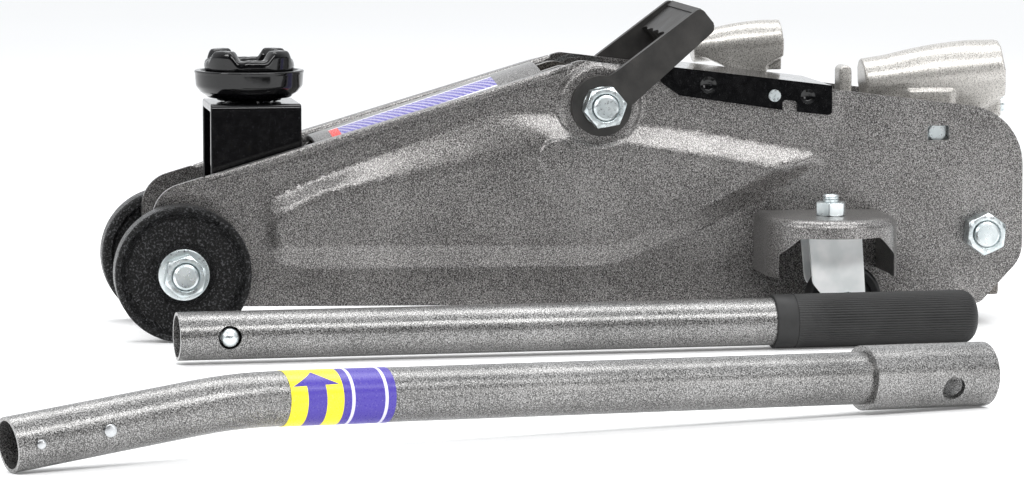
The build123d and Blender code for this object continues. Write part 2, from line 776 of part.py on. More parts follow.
def saddle_link_pin():
    """Pin on the post's right leg, in the front eye of the link."""
    x, z = link_front
    pin = cross_rod(x, z, post_half_width - post_wall, link_outer + 0.3, link_pin_radius)
    return pin + cross_rod(x, z, post_half_width, link_inner - face_gap, link_pin_radius + 2.0)


def saddle_cup():
    """Turned cup: open bowl, short neck and a stem through the post."""
    cup_floor = post_height + 1.4
    profile = Plane.XZ * make_face(Polyline(
        (0, post_height - 13.0), (saddle_neck_radius, post_height - 13.0),
        (saddle_neck_radius, post_height + 0.3), (saddle_neck_radius + 1.5, post_height + 0.3),
        (saddle_neck_radius + 1.5, cup_floor), (19.5, cup_floor + 0.6),
        (23.5, cup_floor + 4.0), (saddle_rim_radius - 0.8, cup_floor + 10.0),
        (saddle_rim_radius, saddle_rim_height), (saddle_rim_radius - saddle_cup_wall, saddle_rim_height),
        (saddle_rim_radius - saddle_cup_wall - 1.2, cup_floor + 7.0), (0, cup_floor + 7.0),
        close=True).edges())
    cup = revolve(profile, Axis.Z)
    cup = Pos(saddle_x, 0, 0) * cup
    groove_z = post_height - post_top_wall - face_gap - 2.0
    groove = tube((saddle_x, 0, groove_z), (saddle_x, 0, groove_z + 1.2), saddle_neck_radius + 1,
                  saddle_neck_radius - 1.2)
    return cup - groove


def saddle_crown():
    """Toothed crown seated in the cup: four jaws with wide notches between them."""
    floor = post_height + 1.4 + 7.0
    crown = tube((saddle_x, 0, floor), (saddle_x, 0, crown_height), crown_radius, crown_inner_radius)
    crown = fillet(crown.edges().group_by(Axis.Z)[-1], 1.5)
    notch_floor = crown_height - crown_notch_depth
    for turn in (0, 90):
        cutter = Box(3 * crown_radius, crown_notch_width, 2 * crown_notch_depth, align=BOTTOM)
        crown -= Pos(saddle_x, 0, notch_floor) * Rotation(0, 0, turn) * cutter
    return crown


def saddle_ring():
    """Retaining ring in the stem's groove, under the post's roof."""
    low = post_height - post_top_wall - face_gap - 2.0
    return tube((saddle_x, 0, low), (saddle_x, 0, low + 1.2), saddle_neck_radius + 2.0,
                saddle_neck_radius - 1.2)


def levelling_link():
    """Flat link beside the arm that keeps the saddle level."""
    length = hypot(link_rear[0] - link_front[0], link_rear[1] - link_front[1])
    angle = degrees(atan2(link_rear[1] - link_front[1], link_rear[0] - link_front[0]))
    bar = Pos(length / 2, 0) * SlotCenterToCenter(length, 2 * link_eye_radius - 2.0)
    bar += Circle(link_eye_radius)
    bar += Pos(length, 0) * Circle(link_eye_radius)
    bar -= Circle(link_pin_radius + link_slack)
    bar -= Pos(length, 0) * Circle(link_pin_radius + running_gap)
    face = Pos(*link_front) * Rotation(0, 0, angle) * bar
    return slab(face, link_inner, link_outer)


def link_pivot_pin():
    """Fixed pin in the right side plate for the rear eye of the link."""
    x, z = link_rear
    pin = cross_rod(x, z, link_inner - 1.0, plate_inner, link_pin_radius)
    return pin + cross_rod(x, z, link_outer + face_gap, plate_inner, link_pin_radius + 3.0)


# ---------------------------------------------------------------- ram
def ram_rod():
    """Ram with its flat head round the crosshead pin."""
    piston_front = cylinder_rear - 6.5 - piston_length
    ram = rod((crosshead_x + 6.0, 0, ram_z), (piston_front, 0, ram_z), ram_radius)
    head = block((crosshead_x - 8.0, crosshead_x + 9.0), (-10.0, 10.0), (ram_z - 9.0, ram_z + 9.0))
    head = fillet(head.edges().filter_by(Axis.Y), 4.0)
    return ram + head - cross_rod(crosshead_x, ram_z, -12, 12, crosshead_radius)


def ram_piston():
    """Piston on the rear end of the ram."""
    rear = cylinder_rear - 6.5
    piston = rod((rear - piston_length, 0, ram_z), (rear, 0, ram_z), cylinder_inner - running_gap)
    groove = tube((rear - 6.5, 0, ram_z), (rear - 4.0, 0, ram_z), cylinder_inner, cylinder_inner - 1.5)
    return piston - groove


def crosshead_pin():
    """Pin that joins the ram to the crank plates and holds the front hooks of the springs."""
    pin = cross_rod(crosshead_x, ram_z, -crosshead_half_length, crosshead_half_length, crosshead_radius)
    for y in (-spring_y, spring_y):
        groove = cross_rod(crosshead_x, ram_z, y - 1.2, y + 1.2, crosshead_radius + 1)
        pin -= groove - cross_rod(crosshead_x, ram_z, y - 1.2, y + 1.2, crosshead_radius - 1.2)
    return pin


def return_springs():
    """Two tension springs that pull the ram back."""
    front, rear = crosshead_x + 8.0, base_front - 3.0
    springs = []
    for y in (-spring_y, spring_y):
        pitch = (rear - front) / spring_turns
        path = Plane(origin=(front, y, ram_z), z_dir=(1, 0, 0)) * Helix(
            pitch, rear - front, spring_coil_radius)
        section = Plane(origin=path @ 0, z_dir=path % 0) * Circle(spring_wire_radius)
        springs.append(sweep(section, path, is_frenet=True))
    return Compound(springs)


# ---------------------------------------------------------------- handle socket and pump
def socket_casting():
    """Visible hood of a cast socket: tapered round barrel, boss, notch at the top of the mouth."""
    tilt = radians(socket_tilt_degrees)

    def along(distance):
        return (socket_mouth_x - distance * cos(tilt), 0, socket_mouth_z - distance * sin(tilt))

    outer = socket_bore_radius + socket_wall
    hood = rod(along(16.0), along(0.0), outer)
    hood += taper(along(68.0), along(16.0), socket_front_radius, outer)
    hood += block((384.0, socket_mouth_x - 0.5), (-8.0, 8.0), (98.5, socket_mouth_z - 8.0))
    hood -= rod(along(socket_bore_depth), along(-3.0), socket_bore_radius)
    notch = block((394.5, socket_mouth_x + 2.0), (-2.5, 2.5), (socket_mouth_z + 8.0, socket_mouth_z + 20.0))
    return hood - notch


def handle_socket():
    """Cast socket: takes the pump handle, turns on its bolt and presses the plunger with its nose."""
    body = socket_casting()
    tab_rear = socket_tab_x + socket_tab_thickness
    base = block((socket_tab_x, 376.0), (-9.0, 9.0), (100.0, 108.0))
    base += block((345.0, 376.0), (-9.0, 9.0), (100.0, 113.0))
    tab_face = outline(
        (socket_tab_x, 100.0, 0.0),
        (tab_rear, 100.0, 0.0),
        (tab_rear, socket_tab_top, 2.9),
        (socket_tab_x, socket_tab_top, 2.9),
    )
    base += slab(tab_face, -7.0, 7.0)
    ear = outline(
        (socket_pivot_x - 10.0, 112.0, 0.0),
        (socket_pivot_x - 10.0, socket_pivot_z - 9.0, 8.5),
        (socket_pivot_x + 10.0, socket_pivot_z - 9.0, 8.5),
        (socket_pivot_x + 12.0, 112.0, 0.0),
    )
    for side in SIDES.values():
        base += on_side(slab(ear, -plunger_head_radius - 0.5, -socket_ear_half_width), side)
    base += cross_rod(socket_pivot_x - nose_arm, nose_z, -7.0, 7.0, nose_radius)
    base += block((socket_pivot_x - nose_arm - nose_radius, socket_pivot_x), (-7.0, 7.0), (nose_z, 101.0))
    tilt = radians(socket_tilt_degrees)
    mouth = (socket_mouth_x + 3 * cos(tilt), 0, socket_mouth_z + 3 * sin(tilt))
    inner_end = (socket_mouth_x - socket_bore_depth * cos(tilt), 0,
                 socket_mouth_z - socket_bore_depth * sin(tilt))
    base -= rod(inner_end, mouth, socket_bore_radius)
    body += base
    body -= cross_rod(socket_pivot_x, socket_pivot_z, -20, 20, socket_bolt_radius + running_gap)
    return body - rod((386.0, 0, 104.0), (socket_mouth_x, 0, 104.0), 2.5)


def socket_screw():
    """Clamp screw in the socket's boss."""
    screw = rod((386.0, 0, 104.0), (socket_mouth_x - 0.5, 0, 104.0), 2.5)
    head = rod((socket_mouth_x - 0.5, 0, 104.0), (socket_mouth_x + 2.0, 0, 104.0), 3.5)
    return screw + head


def pump_plunger():
    """Pump plunger with the flat head that the socket's nose presses."""
    plunger = rod((plunger_x, 0, plunger_bottom), (plunger_x, 0, plunger_top), plunger_radius)
    return plunger + rod((plunger_x, 0, plunger_top - plunger_head_thickness), (plunger_x, 0, plunger_top),
                         plunger_head_radius)


def plunger_spring():
    """Spring that lifts the plunger back up."""
    low, high = base_top + 0.8, plunger_top - plunger_head_thickness - 0.8
    path = Pos(plunger_x, 0, low) * Helix((high - low) / 5, high - low, pump_housing_radius + 1.1)
    section = Plane(origin=path @ 0, z_dir=path % 0) * Circle(0.6)
    return sweep(section, path, is_frenet=True)


def release_valve():
    """Release valve: spindle in the base with a cross-pin knob that the handle's tip can turn."""
    spindle = rod((valve_seat_x + 0.5, 0, valve_z), (base_rear + 6.0, 0, valve_z), valve_radius)
    knob = rod((base_rear + 1.0, 0, valve_z), (base_rear + 8.0, 0, valve_z), 7.0)
    pin = rod((base_rear + 4.5, -10.0, valve_z), (base_rear + 4.5, 10.0, valve_z), 1.6)
    return spindle + knob + pin


# ---------------------------------------------------------------- carry handle
def carry_handle():
    """Moulded handle: two eyes on the arm shaft, two flat arms and a hollow cross bar."""
    turn = Pos(pivot_x, pivot_z) * Rotation(0, 0, carry_rest_degrees)
    half_eye, half_end = carry_arm_depth / 2, carry_end_depth / 2
    arm = outline(
        (0.0, -half_eye, 0.0),
        (carry_length - 2.0, -half_end, 3.0),
        (carry_length, -half_end + 3.0, 1.0),
        (carry_length, half_end, 2.5),
        (0.0, half_eye, 0.0),
    )
    arm += Circle(carry_eye_radius)
    arm -= Circle(bore_m12)
    handle = Part()
    for side in SIDES.values():
        handle += on_side(slab(turn * arm, -carry_inner, -carry_outer), side)
    bar = outline(
        (carry_length - carry_bar_length, -half_end + 1.0, 1.0),
        (carry_length - 2.0, -half_end, 3.0),
        (carry_length, half_end, 2.5),
        (carry_length - carry_bar_length, half_end + 1.0, 1.0),
    )
    hollow = outline(
        (carry_length - carry_bar_length + carry_bar_wall, -half_end + carry_bar_wall, 0.5),
        (carry_length - carry_bar_wall - 0.5, -half_end + carry_bar_wall, 0.5),
        (carry_length - carry_bar_wall - 0.5, half_end + 3.0, 0.0),
        (carry_length - carry_bar_length + carry_bar_wall, half_end + 3.0, 0.0),
    )
    handle += slab(turn * bar, -carry_inner, carry_inner)
    handle -= slab(turn * hollow, -carry_inner + 2.0, carry_inner - 2.0)
    return handle


# ---------------------------------------------------------------- stowage cup
def stowage_cup():
    """Small cast cup outside the right plate that holds the end of the stowed handle."""
    cup = scale(socket_casting(), cup_scale)
    cup = Pos(cup_mouth_x - socket_mouth_x * cup_scale, cup_y, cup_mouth_z - socket_mouth_z * cup_scale) * cup
    foot_x = (cup_foot_x, cup_foot_x + cup_foot_length)
    foot = block(foot_x, (plate_outer, cup_y - 2.0), cup_foot_z)
    foot += block(foot_x, (cup_y - 8.0, cup_y - 2.0), (cup_foot_z[0], cup_mouth_z - 8.0))
    return cup + foot


def stowage_cup_screw():
    """Screw through the cup's foot into the side plate."""
    x, z = cup_foot_x + cup_foot_length / 2, sum(cup_foot_z) / 2
    return cross_rod(x, z, cup_y - 2.0, cup_y + 1.5, 4.5)


# ---------------------------------------------------------------- pump handle
def upper_place():
    """Places the upper tube: axis along local X from its open end, lying on the floor."""
    heading = Rotation(0, 0, upper_heading_degrees)
    return Pos(upper_left_x, upper_left_y, grip_radius) * heading


def upper_tube():
    """Upper handle tube with the hole of the spring button."""
    body = tube((0, 0, 0), (upper_length, 0, 0), tube_radius, tube_radius - tube_wall)
    hole = rod((button_from_end, 0, 0), (button_from_end, -20.0, 0), button_hole_radius)
    return upper_place() * (body - hole)


def handle_button():
    """Spring button: a ball that stands out of the tube's hole on a flat spring strip."""
    ball_out = tube_radius - 1.6
    ball = Pos(button_from_end, -ball_out, 0) * Sphere(button_ball_radius)
    stem = rod((button_from_end, -ball_out, 0), (button_from_end, -3.4, 0), button_ball_radius - 0.6)
    return upper_place() * (ball + stem)


def grip():
    """Rubber grip with a smooth collar and a rounded closed end."""
    start = upper_length - grip_bore_overlap
    end = start + grip_length
    body = rod((start, 0, 0), (end, 0, 0), grip_radius)
    body = fillet(body.edges().filter_by_position(Axis.X, end, end), 7.0)
    body = chamfer(body.edges().filter_by_position(Axis.X, start, start), 0.8)
    return upper_place() * (body - rod((start, 0, 0), (upper_length, 0, 0), tube_radius))


def lower_pitch_degrees():
    """Slope at which the bent tube rests on its low end and on the sleeve's end."""
    bend = radians(lower_bend_degrees)
    low, high = 0.0, bend
    for _ in range(40):
        middle = (low + high) / 2
        rise = tube_radius * cos(bend - middle) + lower_bent_length * sin(bend - middle)
        fall = sleeve_radius * cos(middle) + (lower_straight_length + sleeve_overhang) * sin(middle)
        low, high = (middle, high) if rise > fall else (low, middle)
    return degrees(low)


def lower_path():
    """Middle line of the bent lower tube in its own upright plane (local X and Z)."""
    bend = radians(lower_bend_degrees)
    pitch = radians(lower_pitch_degrees())
    rise = bend - pitch
    start = (0.0, tube_radius * cos(rise))
    corner = (lower_bent_length * cos(rise), start[1] + lower_bent_length * sin(rise))
    end = (corner[0] + lower_straight_length * cos(pitch), corner[1] - lower_straight_length * sin(pitch))
    return start, corner, end, pitch


def lower_place():
    return Pos(lower_left_x, lower_left_y, 0) * Rotation(0, 0, lower_heading_degrees)


def lower_tube():
    """Bent lower handle tube, with two small pins that turn the release valve."""
    start, corner, end, _ = lower_path()
    plane = Plane.XZ
    path = plane * FilletPolyline(start, corner, end, radius=lower_bend_radius)
    section = Plane(origin=path @ 0, z_dir=path % 0) * (
        Circle(tube_radius) - Circle(tube_radius - tube_wall))
    body = sweep(section, path)
    for distance, radius in ((9.0, 1.6), (38.0, 2.2)):
        slope = atan2(corner[1] - start[1], corner[0] - start[0])
        x, z = distance * cos(slope), start[1] + distance * sin(slope)
        body += rod((x, -tube_radius + tube_wall, z), (x, -tube_radius - 0.9, z), radius)
    return lower_place() * body


def lower_station(distance):
    """Point on the straight part's axis, measured from the bend."""
    _, corner, _, pitch = lower_path()
    return (corner[0] + distance * cos(pitch), 0, corner[1] - distance * sin(pitch))


def handle_sleeve():
    """Sleeve welded on the lower tube, with the cross hole for the spring button."""
    start = lower_station(lower_straight_length - (sleeve_length - sleeve_overhang))
    end = lower_station(lower_straight_length + sleeve_overhang)
    bore = tube_radius + sleeve_bore_clearance
    body = tube(start, end, sleeve_radius, bore)
    inner = rod(start, lower_station(lower_straight_length), bore)
    inner -= rod(start, lower_station(lower_straight_length), tube_radius)
    hole_point = Vector(*lower_station(lower_straight_length + sleeve_overhang - button_from_end))
    hole_end = hole_point + Vector(0, -20.0, -7.0)
    body = body + inner - rod(tuple(hole_point), tuple(hole_end), button_hole_radius)
    return lower_place() * body


def handle_label():
    """Printed band round the lower tube, just behind the bend."""
    return lower_place() * tube(lower_station(label_start), lower_station(label_end),
                                tube_radius + label_thickness, tube_radius)


# ---------------------------------------------------------------- all the pieces
def all_nodes():
    nodes = {
        "side_plate_left": side_plate(),
        "side_plate_right": other_side(side_plate()),
        "front_axle": through_shaft(0.0, axle_z, wheel_outer + 0.3 + washer_thickness),
        "m12_nuts": m12_nuts(),
        "m12_washers": washers(),
        "front_spacer_tube": tube((0, -plate_inner, axle_z), (0, plate_inner, axle_z), 9.0, axle_radius),
        "arm_pivot_shaft": through_shaft(pivot_x, pivot_z, carry_outer + face_gap + washer_thickness),
        "rear_bolt": through_shaft(rear_bolt_x, rear_bolt_z, plate_outer),
        "cover_plate": cover_plate(),
        "cover_pins": cover_pins(),
        "link_pivot_pin": link_pivot_pin(),
        "pump_base": pump_base(),
        "ram_cylinder": ram_cylinder(),
        "reservoir_tube": reservoir_tube(),
        "gland_nut": gland_nut(),
        "filler_plug": base_plug(),
        "pump_housing": pump_housing(),
        "socket_pivot_bolt": socket_pivot_bolt(),
        "caster_king_bolts": Compound([king_bolt(), other_side(king_bolt())]),
        "caster_king_nuts": Compound([king_nut(), other_side(king_nut())]),
        "stowage_cup": stowage_cup(),
        "stowage_cup_screw": stowage_cup_screw(),
        "arm_cover": arm_cover(),
        "arm_pivot_tube": arm_pivot_tube(),
        "arm_front_pin": front_pin(),
        "arm_label": arm_label(),
        "saddle_post": saddle_post(),
        "saddle_link_pin": saddle_link_pin(),
        "saddle_cup": saddle_cup(),
        "saddle_crown": saddle_crown(),
        "saddle_ring": saddle_ring(),
        "levelling_link": levelling_link(),
        "ram_rod": ram_rod(),
        "ram_piston": ram_piston(),
        "crosshead_pin": crosshead_pin(),
        "return_springs": return_springs(),
        "handle_socket": handle_socket(),
        "socket_screw": socket_screw(),
        "pump_plunger": pump_plunger(),
        "plunger_spring": plunger_spring(),
        "release_valve": release_valve(),
        "carry_handle": carry_handle(),
        "upper_handle_tube": upper_tube(),
        "handle_grip": grip(),
        "handle_button": handle_button(),
        "lower_handle_tube": lower_tube(),
        "handle_sleeve": handle_sleeve(),
        "handle_label": handle_label(),
    }
    mirrored_pairs = {
        "arm_plate": arm_plate,
        "front_wheel": front_wheel,
        "caster_bracket": caster_bracket,
        "caster_fork": caster_fork,
        "caster_axle": caster_axle,
        "caster_wheel": caster_wheel,
    }
    for name, make in mirrored_pairs.items():
        shape = make()
        for side_name, side in SIDES.items():
            nodes[f"{name}_{side_name}"] = on_side(shape, side)
    return nodes


def origin_shift(nodes):
    """Move that puts the origin in the middle of the bottom of the whole set."""
    boxes = [shape.bounding_box() for shape in nodes.values()]
    low = [min(getattr(box.min, axis) for box in boxes) for axis in "XYZ"]
    high = [max(getattr(box.max, axis) for box in boxes) for axis in "XYZ"]
    return (-(low[0] + high[0]) / 2, -(low[1] + high[1]) / 2, -low[2])


nodes = all_nodes()
shift = origin_shift(nodes)
os.makedirs("parts", exist_ok=True)
for name, shape in nodes.items():
    export_step(Pos(*shift) * shape, f"parts/{name}.step")
print(f"{len(nodes)} nodes, moved by", [round(value, 4) for value in shift])
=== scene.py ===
"""Hydraulic trolley jack with its two-piece handle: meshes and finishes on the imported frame."""

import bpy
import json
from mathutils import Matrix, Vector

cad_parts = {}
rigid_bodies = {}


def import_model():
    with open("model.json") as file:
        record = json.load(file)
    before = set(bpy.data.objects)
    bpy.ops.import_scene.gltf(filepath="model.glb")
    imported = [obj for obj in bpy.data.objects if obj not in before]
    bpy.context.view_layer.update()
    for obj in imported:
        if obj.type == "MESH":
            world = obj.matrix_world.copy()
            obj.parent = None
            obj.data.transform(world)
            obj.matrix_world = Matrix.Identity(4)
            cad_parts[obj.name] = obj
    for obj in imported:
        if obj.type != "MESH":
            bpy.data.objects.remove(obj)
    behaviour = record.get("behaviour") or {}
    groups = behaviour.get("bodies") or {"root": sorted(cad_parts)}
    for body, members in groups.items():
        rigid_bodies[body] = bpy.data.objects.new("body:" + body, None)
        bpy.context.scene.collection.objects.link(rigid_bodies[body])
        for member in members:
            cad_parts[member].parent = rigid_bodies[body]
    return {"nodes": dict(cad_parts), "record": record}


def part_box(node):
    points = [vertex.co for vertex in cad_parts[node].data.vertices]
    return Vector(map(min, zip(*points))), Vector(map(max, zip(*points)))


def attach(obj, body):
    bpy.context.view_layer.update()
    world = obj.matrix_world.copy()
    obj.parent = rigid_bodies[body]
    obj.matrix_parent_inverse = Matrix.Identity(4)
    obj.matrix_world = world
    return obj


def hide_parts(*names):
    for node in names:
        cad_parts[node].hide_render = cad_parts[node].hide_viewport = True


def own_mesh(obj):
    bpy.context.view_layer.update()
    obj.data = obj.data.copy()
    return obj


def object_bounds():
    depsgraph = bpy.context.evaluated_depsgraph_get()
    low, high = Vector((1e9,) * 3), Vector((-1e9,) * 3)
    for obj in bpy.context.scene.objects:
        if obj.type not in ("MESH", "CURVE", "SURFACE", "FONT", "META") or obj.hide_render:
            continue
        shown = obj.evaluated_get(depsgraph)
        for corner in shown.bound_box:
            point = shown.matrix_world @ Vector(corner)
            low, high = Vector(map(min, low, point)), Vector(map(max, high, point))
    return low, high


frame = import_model()
cad_box = [list(corner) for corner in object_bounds()]

import json
from contextlib import contextmanager
from math import cos, hypot, pi, radians, sin, sqrt, tan

import bmesh
import bpy
import numpy as np
from mathutils import Matrix, Vector, noise
from mathutils.geometry import delaunay_2d_cdt

MM = 0.001
record = frame["record"]
slot_of = {part["node"]: part["material_slot"] for part in record["subparts"]}
body_of = {node: body for body, nodes in record["behaviour"]["bodies"].items() for node in nodes}

# Sizes are in millimetres from the front axle (x), the middle plane (y) and the floor (z).
zero = sum(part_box("front_axle"), Vector()) / 2
zero.z = cad_box[0][2]


def at(x, y, z):
    """Point of the row frame for a place in millimetres."""
    return zero + Vector((x, y, z)) * MM


def span(node):
    """Lowest and highest corner of a CAD node in millimetres."""
    return [(corner - zero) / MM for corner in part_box(node)]


def middle(node):
    low, high = span(node)
    return (low + high) / 2


# ---------------------------------------------------------------- finishes
def linear(colour):
    """Linear RGBA of an sRGB hex colour."""
    parts = [int(colour[i:i + 2], 16) / 255 for i in (1, 3, 5)]
    return (*[c / 12.92 if c <= 0.04045 else ((c + 0.055) / 1.055) ** 2.4 for c in parts], 1.0)


def add(tree, kind, inputs=None, stops=(), **settings):
    """Add a node with its settings, the (position, hex colour) stops of its ramp, and its inputs.

    An input is a value, a socket to link, or a node whose first output is linked."""
    node = tree.nodes.new("ShaderNode" + kind)
    for name, value in settings.items():
        setattr(node, name, value)
    for name, value in (inputs or {}).items():
        if isinstance(value, bpy.types.Node):
            value = value.outputs[0]
        if isinstance(value, bpy.types.NodeSocket):
            tree.links.new(value, node.inputs[name])
        else:
            node.inputs[name].default_value = value
    if stops:
        elements = node.color_ramp.elements
        while len(elements) < len(stops):
            elements.new(0.5)
        for element, (position, colour) in zip(elements, stops):
            element.position = position
            element.color = linear(colour)
    return node


def per_metre(size_mm):
    """Texture scale that makes a feature of that size."""
    return 1000.0 / size_mm


# Real paint flecks, moulded grain and plating marks are about 0.1 to 0.3 mm. That is too fine to
# show, so they are drawn at 0.5 to 2 mm, as coarse as they need to show.
# FROM_NOISE is where nearly all values of a noise texture lie.
FROM_NOISE = {"From Min": 0.3, "From Max": 0.7}


def new_finish(name):
    """Empty material, with object coordinates as they are and turned for noise.

    They are turned so that no flat face lies along the noise's lattice, where it fades."""
    material = bpy.data.materials.new(name)
    material.use_nodes = True
    tree = material.node_tree
    tree.nodes.clear()
    place = add(tree, "TexCoord").outputs["Object"]
    turned = add(tree, "VectorRotate", {"Vector": place, "Rotation": (0.5, 0.6, 0.7)},
                 rotation_type="EULER_XYZ")
    return material, tree, place, turned


def surfaced(material, colour, rough_from, roughness, height, strength, depth, **more):
    """End a finish: colour, a roughness that a texture spreads over a range, and any bumps."""
    tree = material.node_tree
    spread = add(tree, "MapRange", {"Value": rough_from, "To Min": roughness[0],
                                    "To Max": roughness[1], **FROM_NOISE})
    if height:
        more["Normal"] = add(tree, "Bump", {"Height": height, "Strength": strength,
                                            "Distance": depth})
    shader = add(tree, "BsdfPrincipled", {"Base Color": colour, "Roughness": spread, **more})
    add(tree, "OutputMaterial", {"Surface": shader})
    return material


def hammer_paint(name, dark, body, light, grain_size=0.5, rough=0.34, metallic=0.75):
    """Stoved metallic hammer paint: fine dark and light flecks that stay visible at any angle, a
    soft broad highlight, and slight cloudiness where the spray was thicker."""
    material, tree, _, turned = new_finish(name)
    fleck = add(tree, "TexNoise", {"Vector": turned, "Scale": per_metre(grain_size),
                                   "Detail": 1.5, "Roughness": 0.55})
    cloud = add(tree, "TexNoise", {"Vector": turned, "Scale": per_metre(35.0), "Detail": 2.0})
    shift = add(tree, "MapRange", {"Value": cloud, "To Min": -0.03, "To Max": 0.03, **FROM_NOISE})
    tone = add(tree, "Math", {0: fleck, 1: shift}, operation="ADD")
    colour = add(tree, "ValToRGB", {"Fac": tone}, ((0.34, dark), (0.5, body), (0.66, light)))
    return surfaced(material, colour, fleck, (rough - 0.08, rough + 0.1), fleck, 0.25, 0.00015,
                    **{"Metallic": metallic, "Coat Weight": 0.3, "Coat Roughness": 0.25})


def gloss_enamel(name):
    """Black stove enamel: deep, wet-looking black, a faint orange peel and a few dust specks."""
    material, tree, _, turned = new_finish(name)
    peel = add(tree, "TexNoise", {"Vector": turned, "Scale": per_metre(3.5), "Detail": 1.0})
    dust = add(tree, "TexNoise", {"Vector": turned, "Scale": per_metre(0.6), "Detail": 0.0})
    colour = add(tree, "ValToRGB", {"Fac": dust}, ((0.72, "#060607"), (0.80, "#232325")))
    return surfaced(material, colour, peel, (0.06, 0.14), peel, 0.12, 0.00015,
                    **{"Specular IOR Level": 0.42})


def black_casting(name):
    """Sand-cast iron under thin semi-gloss black: a pitted grain that breaks the highlight up,
    dark grain tones, and light grey specks that are painted glints of the rough surface.
    """
    material, tree, _, turned = new_finish(name)
    sand_grain_and_glints = add(tree, "TexNoise", {"Vector": turned, "Scale": per_metre(0.9), "Detail": 3.0,
                                  "Roughness": 0.6})
    lumps = add(tree, "TexNoise", {"Vector": turned, "Scale": per_metre(4.0), "Detail": 2.0})
    height = add(tree, "Math", {0: sand_grain_and_glints, 1: lumps}, operation="ADD")
    # painted glints: the light grey end of this ramp stands in for glints off the rough casting;
    # the two dark stops are its grain
    colour = add(tree, "ValToRGB", {"Fac": sand_grain_and_glints},
                 ((0.4, "#030303"), (0.54, "#0a0a0a"), (0.64, "#4a4a4c")))
    return surfaced(material, colour, lumps, (0.24, 0.4), height, 0.8, 0.001,
                    **{"Specular IOR Level": 0.18})


def metal(name, dark, light, rough, grain_size=2.0, bump_depth=0.00004, metallic=1.0):
    """Bare or plated steel: bright, with faint tinted patches and fine machining or plating marks.
    A dull galvanised skin scatters light instead of mirroring it, so there metallic is 0."""
    material, tree, _, turned = new_finish(name)
    marks = add(tree, "TexNoise", {"Vector": turned, "Scale": per_metre(grain_size),
                                   "Detail": 3.0})
    patches = add(tree, "TexNoise", {"Vector": turned, "Scale": per_metre(9.0), "Detail": 2.0})
    colour = add(tree, "ValToRGB", {"Fac": patches}, ((0.35, dark), (0.65, light)))
    return surfaced(material, colour, marks, (rough - 0.07, rough + 0.1), marks, 0.25, bump_depth,
                    Metallic=metallic)


def moulded(name, dark, light, rough, grain_size=0.8, depth=0.00008):
    """Moulded plastic or rubber: even colour, a fine spark-eroded grain and slight scuffs."""
    material, tree, _, turned = new_finish(name)
    texture = add(tree, "TexNoise", {"Vector": turned, "Scale": per_metre(grain_size),
                                     "Detail": 1.0})
    scuff = add(tree, "TexNoise", {"Vector": turned, "Scale": per_metre(12.0), "Detail": 4.0,
                                   "Roughness": 0.65})
    colour = add(tree, "ValToRGB", {"Fac": scuff}, ((0.35, dark), (0.7, light)))
    return surfaced(material, colour, scuff, (rough - 0.06, rough + 0.1), texture, 0.4, depth,
                    **{"Specular IOR Level": 0.4})


finishes = {
    "hammered_grey_paint": hammer_paint("hammered_grey_paint", "#383635", "#6b6968", "#aeacaa"),
    "dark_grey_paint": hammer_paint("dark_grey_paint", "#33302e", "#5b5753", "#89837c", 0.5, 0.3),
    "silver_hammered_tube_paint": hammer_paint(
        "silver_hammered_tube_paint", "#3f3f3e", "#6f6e6d", "#aaa9a8", 0.5, 0.3, 0.75),
    "cast_silver_paint": hammer_paint(
        "cast_silver_paint", "#97948f", "#b0ada8", "#cac7c3", 0.55, 0.3, 0.5),
    "gloss_black_enamel": gloss_enamel("gloss_black_enamel"),
    "black_cast_iron": black_casting("black_cast_iron"),
    "bright_zinc": metal("bright_zinc", "#c3ccce", "#dfe5e6", 0.3, 1.5, 0.000015),
    "galvanised_sheet": metal("galvanised_sheet", "#e6eaea", "#fafbfb", 0.4, 1.2,
                              metallic=0.0),
    "machined_steel": metal("machined_steel", "#8f9193", "#c2c4c6", 0.3, 0.6),
    "spring_steel": metal("spring_steel", "#6d6f72", "#9fa1a3", 0.35, 0.8),
    "black_nylon": moulded("black_nylon", "#0d0d0e", "#1d1d1e", 0.38, 1.2),
    "charcoal_plastic": moulded("charcoal_plastic", "#1c1b1a", "#2f2d2b", 0.48, 0.7),
    "grip_rubber": moulded("grip_rubber", "#171717", "#282828", 0.55, 0.6, 0.0001),
}


# ---------------------------------------------------------------- mesh helpers
@contextmanager
def editing(mesh):
    """Open a mesh for editing and write it back afterwards."""
    work = bmesh.new()
    work.from_mesh(mesh)
    yield work
    work.to_mesh(mesh)
    work.free()


class Shape:
    """Vertices in millimetres and faces, gathered part by part."""

    def __init__(self):
        self.points, self.faces = [], []

    def add(self, points, faces):
        base = len(self.points)
        self.points += [tuple(point) for point in points]
        self.faces += [[base + i for i in face] for face in faces]
        return self


def rounded(corners, closed=True, step=10.0):
    """Polygon points from (u, v, radius) corners, with each corner rounded off."""
    out, count = [], len(corners)
    for i, (u, v, radius) in enumerate(corners):
        here = Vector((u, v))
        if radius <= 0 or (not closed and i in (0, count - 1)):
            out.append(here)
            continue
        before = Vector(corners[i - 1][:2]) - here
        after = Vector(corners[(i + 1) % count][:2]) - here
        angle = before.angle(after)
        reach = min(radius / tan(angle / 2), 0.49 * before.length, 0.49 * after.length)
        radius = reach * tan(angle / 2)
        halfway = (before.normalized() + after.normalized()).normalized()
        centre = here + halfway * (radius / sin(angle / 2))
        first = here + before.normalized() * reach - centre
        last = here + after.normalized() * reach - centre
        turn = max(first.angle(last), 1e-4)
        steps = max(2, int(turn / radians(step)))
        for k in range(steps + 1):
            t = k / steps
            out.append(centre + (first * sin((1 - t) * turn) + last * sin(t * turn)) / sin(turn))
    return [(p.x, p.y) for p in out]


def axes_of(direction):
    """Two directions square to an axis; the first is level where it can be."""
    along = Vector(direction).normalized()
    first = Vector((0, 0, 1)).cross(along)
    first = Vector((1, 0, 0)) if first.length < 0.01 else first.normalized()
    return along, first, along.cross(first)


def turns(steps):
    """Angles of a full turn."""
    return [2 * pi * k / steps for k in range(steps)]


